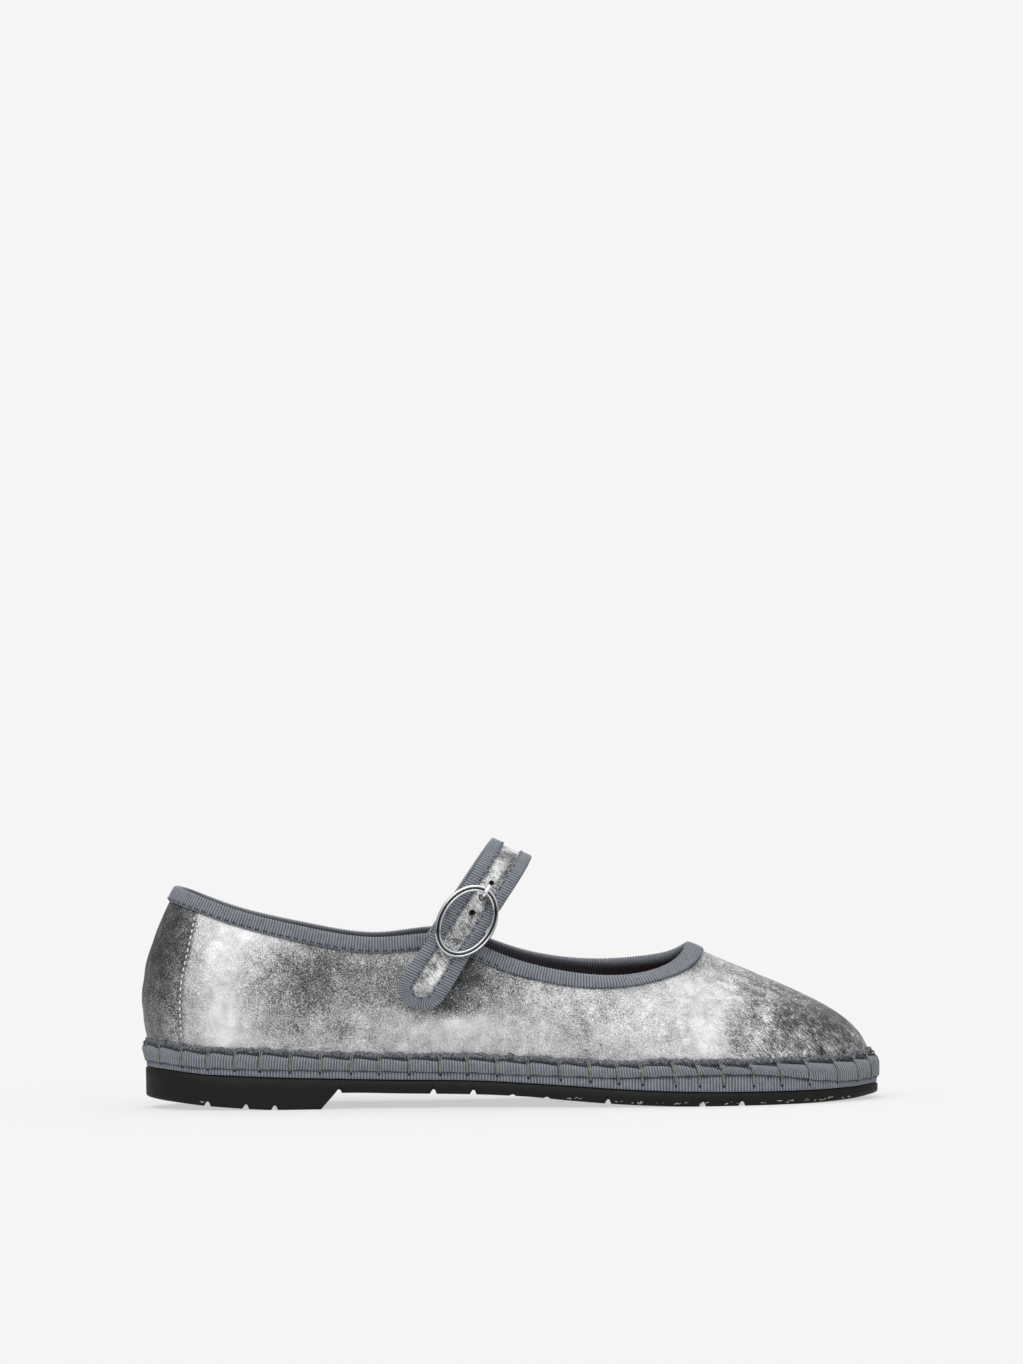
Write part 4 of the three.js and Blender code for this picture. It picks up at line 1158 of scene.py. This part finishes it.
def strap_edge(run, half):
    """Round the strap at half its width from the middle: along, across, and the way inward."""
    straight = strap_length - STRAP_HALF
    angle = np.clip((run - straight) / (math.pi * half), 0, 1) * math.pi
    sin, cos = np.sin(angle), np.cos(angle)
    back = np.clip(run - straight - math.pi * half, 0, None)
    a = np.where(run < straight, strap_length - run, STRAP_HALF - half * sin)
    return np.where(back > 0, STRAP_HALF + back, a), -half * cos, sin, cos


def edge_length(half):
    return 2 * (strap_length - STRAP_HALF) + math.pi * half


def buckle_basis():
    heart = strap(TIP_REACH, 0, 0)
    up = unit(strap(TIP_REACH + 0.5, 0, 0) - strap(TIP_REACH - 0.5, 0, 0))
    out = unit(np.cross(STRAP_ACROSS, up))
    across = unit(np.cross(up, out))
    return heart, np.stack([across, up, out])


RING_HEART, RING_AXES = buckle_basis()


def from_buckle(points):
    """Points given across, along and off the strap at the buckle."""
    return RING_HEART + np.asarray(points, float) @ RING_AXES


def in_buckle(points):
    return (points - RING_HEART) @ RING_AXES.T


RAIL_REACH = STRAP_HALF + CLEARANCE + BAR / 2
RIM_REACH = BUCKLE_LENGTH / 2 - WIRE / 2
EYE_INSIDE = BAR / 2 + CLEARANCE
EYE_OUTSIDE = EYE_INSIDE + TAB
SPOTS = np.linspace(-1, 1, 9)


def strap_heights(reach, lift):
    spots = strap(TIP_REACH + SPOTS[:, None] * reach, np.array([-STRAP_HALF, 0, STRAP_HALF]), lift)
    return in_buckle(spots)[..., 2]


BAR_LIFT = strap_heights(EYE_OUTSIDE, -STRAP_FACE).min() - CLEARANCE - EYE_OUTSIDE
RING_LIFT = strap_heights(RIM_REACH, STRAP_FACE).max() + CLEARANCE + WIRE / 2
HOLE_REACH = RIM_REACH - WIRE / 2 - 1.7 * CLEARANCE - PRONG / 2


# Holes of the strap: reach from the bar, width, length
STRAP_HOLES = (
    (HOLE_REACH, 1.9, 2.2), (HOLE_REACH - HOLE_PITCH, 1.8, 1.9), (HOLE_REACH + HOLE_PITCH, 1.6, 1.6),
)
HOLE_SHADE = 1.24
SHADE_DEPTH = 0.3


def peg(bm, heart, wide, long, deep):
    """A round peg through the strap, square to it at the buckle."""
    turn = Matrix(RING_AXES).transposed().to_4x4()
    size = Matrix.Diagonal((wide / 2 * MM, long / 2 * MM, deep * MM, 1))
    bmesh.ops.create_cone(bm, cap_ends=True, segments=24, radius1=1, radius2=1, depth=1,
                          matrix=Matrix.Translation(heart) @ turn @ size)


def strap_velvet():
    half = STRAP_HALF - RIBBON - CLEARANCE
    start = STRAP_HALF - half
    columns, rows = 260, 18

    def place(s, t):
        a = start + s * (strap_length - start)
        ending = np.clip((a - start) / half, 0, 1)
        width = half * np.sqrt(np.maximum(1 - (1 - ending) ** 2, 1e-4))
        top = t < 0.5
        across = np.where(top, -1 + 4 * t, 3 - 4 * t)
        crown = 0.35 * (1 - across ** 2)
        points = strap(a, across * width, np.where(top, CORE_FACE + crown, -CORE_FACE))
        spot = stack(across * half, 0, a)
        nap_and_shade = np.clip(0.54 + patches(spot, STRAP_NAP), 0, 1)
        return points, spot[:, [2, 0]], nap_and_shade, np.full(len(s), 0.85)

    bm = bmesh.new()
    sheet(bm, columns, 2 * rows, place, ("nap_and_shade", "streak"))
    close(bm)
    cap(bm)
    piece = join(bm, "strap_velvet", velvet, ("strap",))
    bm, beds = bmesh.new(), bmesh.new()
    for reach, wide, long in STRAP_HOLES:
        heart = Vector((strap(TIP_REACH + reach, 0, 0) + shift) * MM)
        peg(bm, heart, wide, long, 6 * STRAP_THICKNESS)
        peg(beds, heart, HOLE_SHADE * wide, HOLE_SHADE * long, SHADE_DEPTH)
    combine(piece, put(bm, "strap_holes"), "DIFFERENCE")
    join(beds, "strap_hole_shade", shadow, smooth=False)
    return piece


def strap_binding():
    inside, face = RIBBON_INSIDE - 0.15, STRAP_FACE
    # Reach in from the strap's edge, and lift off its middle layer
    upper_half = np.array([
        (0, 0), (0.03, 0.5 * face), (0.25 * RIBBON, 0.85 * face), (0.8 * RIBBON, face),
        (0.5 * STRAP_RIBBON, face), (STRAP_RIBBON - 0.15, face), (STRAP_RIBBON, face - 0.2),
        (STRAP_RIBBON, inside), (RIBBON, inside),
    ])
    section = np.concatenate([upper_half, upper_half[::-1] * (1, -1)])
    length = edge_length(STRAP_HALF)
    columns, wave, count = ribs(length)
    around = 12

    def place(s, t):
        reach, lift = section[whole(t, len(section) - 1)].T
        a, b, in_a, in_b = strap_edge(s * length, STRAP_HALF)
        outside = (np.abs(lift) > inside + 0.01) | (reach < 0.05)
        ribbed = wave(s) * outside
        reach = reach - np.where(reach < 0.5, ribbed, 0)
        lift = lift + np.sign(lift) * ribbed
        return strap(a + reach * in_a, b + reach * in_b, lift), np.stack([s * count, t * around], axis=1)

    bm = bmesh.new()
    sheet(bm, columns, len(section) - 1, place)
    close(bm)
    cap(bm)
    return join(bm, "strap_ribbon", ribbon, ("strap_binding",))


# Buckle

def swept(bm, points, normals, section, closed):
    """Sweeps a section (side, off) along points. normals say which way off is."""
    count = len(points)
    if closed:
        tangent = unit(np.roll(points, -1, 0) - np.roll(points, 1, 0))
    else:
        tangent = unit(np.gradient(points, axis=0))
    side = unit(np.cross(normals, tangent))
    face = np.cross(tangent, side)
    section = np.asarray(section)
    last = count if closed else count - 1

    def place(s, t):
        i = whole(s, last) % count
        j = whole(t, len(section)) % len(section)
        across, off, *groove_shade = section[j].T
        points_here = points[i] + side[i] * across[:, None] + face[i] * off[:, None]
        return points_here, np.stack([s * last, t], axis=1), *groove_shade
    sheet(bm, last, len(section), place, ("groove_shade",) if section.shape[1] == 3 else ())


def twin_rim(radius):
    """Section of a rim cast as two beads with a groove between them, and the painted shade that darkens the
    groove.
    """
    across, off = oval(radius, radius, 32).T
    # The notch's depth also sets the painted shade in the groove
    notch = np.where(off > 0, bell(across, 0.34 * radius), 0)
    return np.stack([across, off - 0.95 * radius * notch, notch], axis=1)


def buckle():
    across, along = oval(RAIL_REACH, RIM_REACH, 120).T
    ring = from_buckle(stack(across, along, RING_LIFT))
    bm = bmesh.new()
    swept(bm, ring, np.broadcast_to(RING_AXES[2], ring.shape), twin_rim(WIRE / 2), True)
    close(bm)
    join(bm, "buckle_ring", steel, ("buckle_frame",))

    right = np.array([
        (RAIL_REACH - 0.6, 0, BAR_LIFT), (RAIL_REACH - 0.1, 0, BAR_LIFT + 0.1),
        (RAIL_REACH, 0, BAR_LIFT + 0.5), (RAIL_REACH, 0, RING_LIFT - 0.3),
    ])
    path = from_buckle(np.concatenate([right[::-1] * (-1, 1, 1), right]))
    bm = bmesh.new()
    swept(bm, path, np.broadcast_to(RING_AXES[1], path.shape), oval(BAR / 2, BAR / 2, 12), False)
    close(bm)
    cap(bm)
    join(bm, "buckle_bar", steel)


def prong():
    eye = EYE_INSIDE + PRONG / 2

    def under(reach):
        return in_buckle(strap(TIP_REACH + reach, 0, -CORE_FACE))[2] - CLEARANCE - PRONG / 2

    over = RING_LIFT + WIRE / 2 + CLEARANCE + PRONG / 2
    path = np.array([
        (0, -0.2, BAR_LIFT + eye),
        (0, 0.3 * HOLE_REACH, min(under(0.3 * HOLE_REACH), under(0)) - 0.1),
        (0, 0.7 * HOLE_REACH, under(0.7 * HOLE_REACH) - 0.3),
        (0, HOLE_REACH - 0.3, under(HOLE_REACH) + 0.2 * PRONG),
        (0, HOLE_REACH, 0.5 * RING_LIFT),
        (0, HOLE_REACH - 0.05, RING_LIFT + 0.1 * WIRE),
        (0, HOLE_REACH + 0.6 * WIRE, over + 0.1),
        (0, RIM_REACH + 0.25 * WIRE, over + 0.15),
        (0, RIM_REACH + WIRE, over - 0.3),
    ])
    points = from_buckle(through(path, np.linspace(0, 1, 70)))
    bm = bmesh.new()
    swept(bm, points, np.broadcast_to(RING_AXES[0], points.shape), twin_rim(PRONG / 2), False)
    along, off = oval(eye, eye, 36).T
    loop = from_buckle(stack(0, along, BAR_LIFT + off))
    swept(bm, loop, np.broadcast_to(RING_AXES[0], loop.shape), twin_rim(PRONG / 2), True)
    close(bm)
    cap(bm)
    return join(bm, "buckle_pin", steel, ("buckle_prong",))


# Threads

def blanket_stitches():
    """Two threads over the rand at each stitch, from its top edge down into the midsole ribbon, and a thin
    dark strand beside them as painted shadow.
    """
    bm, under = bmesh.new(), bmesh.new()
    thick, thin = 0.23, 0.13
    places = len(STITCH_LIFT)
    for run in stitch_run:
        x = float(feather(rand_share(run))[0])
        lean = -0.6 * math.sin(x / 60)
        top, low = float(ribbon_line(x)), STITCH_FOOT
        heights = np.array([top + 1.3, top + 0.9, top + 0.2, 0.8 * top, 0.5 * top, 0.2 * top,
                            low + 1.2, low + 0.4, low])
        way = 1 if rand_share(run) <= 0.5 else -1
        # The thin third strand, on the dark thread finish, is painted shadow beside the stitch
        for side, thread, radius in ((-0.2, bm, thick), (0.22, bm, thick), (-0.5, under, thin)):
            aside = lean * np.linspace(1, -0.2, places) + side * STITCH_SPREAD
            aside += rng.uniform(-0.06, 0.06, places)
            u = rand_share(run + aside * way)
            points = through(rand_face(u, heights, STITCH_LIFT), np.linspace(0, 1, 15))
            strand(thread, points, outward(u[0]) + np.array([0, 0, 0.2]), radius)
    join_threads(under, "stitch_shadow_strands", dark_thread_and_shadow)
    return join_threads(bm, "rand_stitches", stitch_thread)


def edge_threads():
    """The thread along the top of the rand, from stitch to stitch, and the one between the ribbons."""
    bm = bmesh.new()
    t = np.linspace(0, 1, 9)
    half = len(t) // 2
    for start, end in zip(stitch_run, np.append(stitch_run[1:], stitch_run[0] + rand_length)):
        u = rand_share(start + (end - start) * t)
        inner = start + (end - start) * (0.05 + 0.9 * t)
        heights = ribbon_top(rand_share(inner)) + rng.uniform(0, 0.5) * (1 - t) + 0.35 * np.sin(math.pi * t)
        heights -= 0.9 * bell(feather(u[half])[0] - 72, 16)
        points = rand_face(u, heights, np.where((t == 0) | (t == 1), 0, 0.35))
        strand(bm, through(points, np.linspace(0, 1, 17)), outward(u[half]), 0.25)
    join_threads(bm, "edge_thread", dark_thread_and_shadow)

    bm = bmesh.new()
    steps = np.arange(480)
    u = rand_share(steps / len(steps) * rand_length)
    wander = 0.12 * np.sin(steps * 0.9) * np.sin(steps * 0.13)
    points = rand_face(u, seam_height(feather(u)[:, 0]) + wander, 0.1)
    swept(bm, points, outward(u), oval(0.17, 0.17, 6), True)
    return join_threads(bm, "seam_thread", dark_thread_and_shadow)


def facing(spot, out):
    """Stands a shape at a spot in millimetres, its own y turned outward."""
    turn = Vector(out).to_track_quat("Y", "Z").to_matrix().to_4x4()
    return Matrix.Translation(Vector((spot + shift) * MM)) @ turn


def stitch_holes():
    # Dark blobs of painted shade in the hole at the foot of each blanket stitch
    bm = bmesh.new()
    bm.loops.layers.uv.new("lay")
    size = Matrix.Diagonal((0.42 * MM, 0.16 * MM, 0.62 * MM, 1))
    for run in stitch_run:
        u = rand_share(run)
        matrix = facing(rand_face(u, STITCH_FOOT - 0.05, 0.06)[0], outward(u)) @ size
        bmesh.ops.create_uvsphere(bm, u_segments=10, v_segments=6, radius=1, matrix=matrix)
    bmesh.ops.recalc_face_normals(bm, faces=bm.faces)
    return join(bm, "stitch_holes", shadow)


def velvet_fold():
    """The raw fold of the velvet that stands up behind the rand, rough, and coloured dark as painted shade.
    """
    count = 1500
    u = rand_share(np.arange(count) / count * rand_length)
    rough = rng.normal(0, 1, count)
    rough = (np.roll(rough, 1) + 2 * rough + np.roll(rough, -1)) / 4
    height = ribbon_line(feather(u)[:, 0]) + 0.95 + 0.4 * rough - 0.2 * gather(u)
    points = wall(u, above_foot(u, height), 0.6 + 0.2 * rough)
    points[:, 2] = foot(feather(u)[:, 0]) + height
    bm = bmesh.new()
    swept(bm, points, outward(u), oval(1.15, 0.6, 14), True)
    close(bm, THREAD_GAP)
    for vert in bm.verts:
        vert.co += Vector(rng.normal(0, 0.17, 3) * MM)
    return join(bm, "velvet_fold", velvet_fold_shade)


SEAM_PITCH = 2.75


def dashes(bm, line, normals, length, pitch, dash, radius, start=0.0):
    """Short stitches sunk at both ends along line(run), a function of length."""
    rise = radius * np.array([-0.6, 0.35, 0.7, 0.7, 0.35, -0.6])
    for k in range(int((length - start) / pitch)):
        run = start + pitch * k + np.linspace(0, dash, len(rise))
        points = line(run) + normals(run) * rise[:, None]
        strand(bm, points, normals(run)[2], radius, 5)


def collar_stitches():
    step, length = even(topline)
    far = CLEARANCE + RIBBON + 0.07

    def share(run):
        return below_top(step(np.mod(run / length, 1)), COLLAR_RIBBON - 0.55)

    def line(run):
        return wall(*share(run), np.full(len(run), far))

    bm = bmesh.new()
    for start, end in ((0, 0.31 * length), (0.69 * length, length)):
        dashes(bm, line, lambda run: wall_normal(*share(run)), end, SEAM_PITCH, 1.9, 0.21, start)
    return join_threads(bm, "collar_stitches", dark_thread_and_shadow)


def strap_stitches():
    half = STRAP_HALF - STRAP_RIBBON + 0.5

    def spots(run, lift):
        a, b, *_ = strap_edge(run, half)
        return strap(a, b, STRAP_FACE + lift)

    def normals(run):
        return unit(spots(run, 1) - spots(run, 0))

    bm = bmesh.new()
    dashes(bm, lambda run: spots(run, 0.06), normals, edge_length(half), SEAM_PITCH, 1.7, 0.16)
    return join_threads(bm, "strap_stitches", dark_thread_and_shadow)


def heel_stitches():
    bm = bmesh.new()
    for side in (1, -1):
        v = np.linspace(float(seam_v[0]) + 0.02, float(seam_v[-1]) - 0.01, 300)
        u = (heel_seam(v) + 0.1 / girth) * side
        points = wall(u, v, relief(u, v, bare_wall(u, v)))
        normals = wall_normal(u, v)
        run = run_of(points)

        def at(values, run=run):
            return lambda where: np.stack([np.interp(where, run, values[:, k]) for k in range(3)], axis=1)

        dashes(bm, at(points), at(normals), run[-1], 2.3, 1.6, 0.33, 0.3)
    return join_threads(bm, "heel_stitches", pale_thread)


def sole_flecks():
    """Pale flecks moulded into the lower edge of the rubber, mostly at the forefoot."""
    bm = bmesh.new()
    bm.loops.layers.uv.new("lay")
    thick = 0.08
    for side, x in itertools.product((0, 1), np.repeat(FLECKS, 2)):
        place = x + rng.uniform(-1.6, 1.6) + side * 3.1
        u = float(np.interp(place, half_x, half_u))
        u = 1 - u if side else u
        spot = feather_out(u, RUBBER_EDGE + 0.02)
        spot[2] = arch(spot[0]) + tread(spot[0]) + rng.uniform(0.7, 1.5)
        if x < to_x(BREAST_ALONG):
            spot[2] = tread(spot[0]) + 1.3
        turn = Matrix.Rotation(rng.uniform(-0.4, 0.4), 4, "Y")
        wide, high = rng.uniform(0.2, 0.95), rng.uniform(0.08, 0.18)
        matrix = facing(spot, outward(u)) @ turn @ Matrix.Diagonal((wide * MM, thick * MM, high * MM, 1))
        for vert in bmesh.ops.create_icosphere(bm, subdivisions=2, radius=1, matrix=matrix)["verts"]:
            vert.co += Vector(rng.normal(0, 0.05, 3) * MM)
    bmesh.ops.recalc_face_normals(bm, faces=bm.faces)
    return join(bm, "sole_flecks", fleck)


upper_velvet()
upper_lining()
blanket_stitches()
edge_threads()
stitch_holes()
velvet_fold()
collar_stitches()
strap_stitches()
heel_stitches()
sole_flecks()
collar_binding()
rand_ribbon()
midsole_ribbon()
sock_lining()
rubber_sole()
strap_velvet()
strap_binding()
buckle()
prong()
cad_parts["buckle_tab"].data.materials.clear()
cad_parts["buckle_tab"].data.materials.append(tab_weave)


# Floor, light and camera

def studio():
    bm = bmesh.new()
    bmesh.ops.create_circle(bm, cap_ends=True, segments=96, radius=40)
    bmesh.ops.recalc_face_normals(bm, faces=bm.faces)
    floor = put(bm, "floor")
    grey, glow = (0.265,) * 3, 0.56
    finish = Finish("pale floor", Roughness=1.0, Specular_IOR_Level=0, Base_Color=grey,
                    Emission_Color=(1, 1, 1), Emission_Strength=glow)
    floor.data.materials.append(finish.material)

    world = bpy.data.worlds.new("studio")
    bpy.context.scene.world = world
    world.use_nodes = True
    tree = world.node_tree
    tree.nodes.clear()
    output, sky, seen, mix, path, where, split, rise = (tree.nodes.new("ShaderNode" + kind) for kind in (
        "OutputWorld", "Background", "Background", "MixShader", "LightPath", "TexCoord", "SeparateXYZ",
        "MapRange"))
    tree.links.new(where.outputs["Generated"], split.inputs[0])
    tree.links.new(split.outputs[2], rise.inputs[0])
    for index, value in ((1, 0.05), (2, 0.9), (3, 0.18), (4, 0.85)):
        rise.inputs[index].default_value = value
    tree.links.new(rise.outputs[0], sky.inputs[0])
    seen.inputs[0].default_value = (0.913, 0.913, 0.913, 1)
    tree.links.new(path.outputs["Is Camera Ray"], mix.inputs[0])
    tree.links.new(sky.outputs[0], mix.inputs[1])
    tree.links.new(seen.outputs[0], mix.inputs[2])
    tree.links.new(mix.outputs[0], output.inputs[0])

    for name, strength, angle, azimuth, elevation in (
        ("key", 1.5, 50, -25, 50), ("fill", 0.5, 60, 35, 35), ("back", 1.0, 60, 175, 45),
    ):
        light = bpy.data.lights.new(name, "SUN")
        light.energy = strength
        light.angle = math.radians(angle)
        lamp = bpy.data.objects.new(name, light)
        a, e = math.radians(azimuth), math.radians(elevation)
        way = Vector((math.sin(a) * math.cos(e), -math.cos(a) * math.cos(e), math.sin(e)))
        lamp.rotation_euler = way.to_track_quat("Z", "Y").to_euler()
        bpy.context.scene.collection.objects.link(lamp)


def camera():
    pixels_per_mm, photo_height, sensor = 2.88, 1364, 36
    distance, elevation, roll = 12000, math.radians(3), math.radians(0.716)
    heart, middle_height = np.array([2.0, 0, 35]), 146
    data = bpy.data.cameras.new("camera")
    data.sensor_width = sensor
    data.lens = sensor * distance * pixels_per_mm / photo_height
    data.clip_end = 100
    cam = bpy.data.objects.new("camera", data)
    cam.location = (heart + distance * np.array([0, -math.cos(elevation), math.sin(elevation)])) * MM
    tilt = math.radians(90) - elevation + math.atan((middle_height - heart[2]) / distance)
    cam.matrix_world = (Matrix.Translation(cam.location) @ Matrix.Rotation(tilt, 4, "X")
                        @ Matrix.Rotation(-roll, 4, "Z"))
    bpy.context.scene.collection.objects.link(cam)
    bpy.context.scene.camera = cam


studio()
camera()
bpy.context.scene.view_settings.view_transform = "Standard"
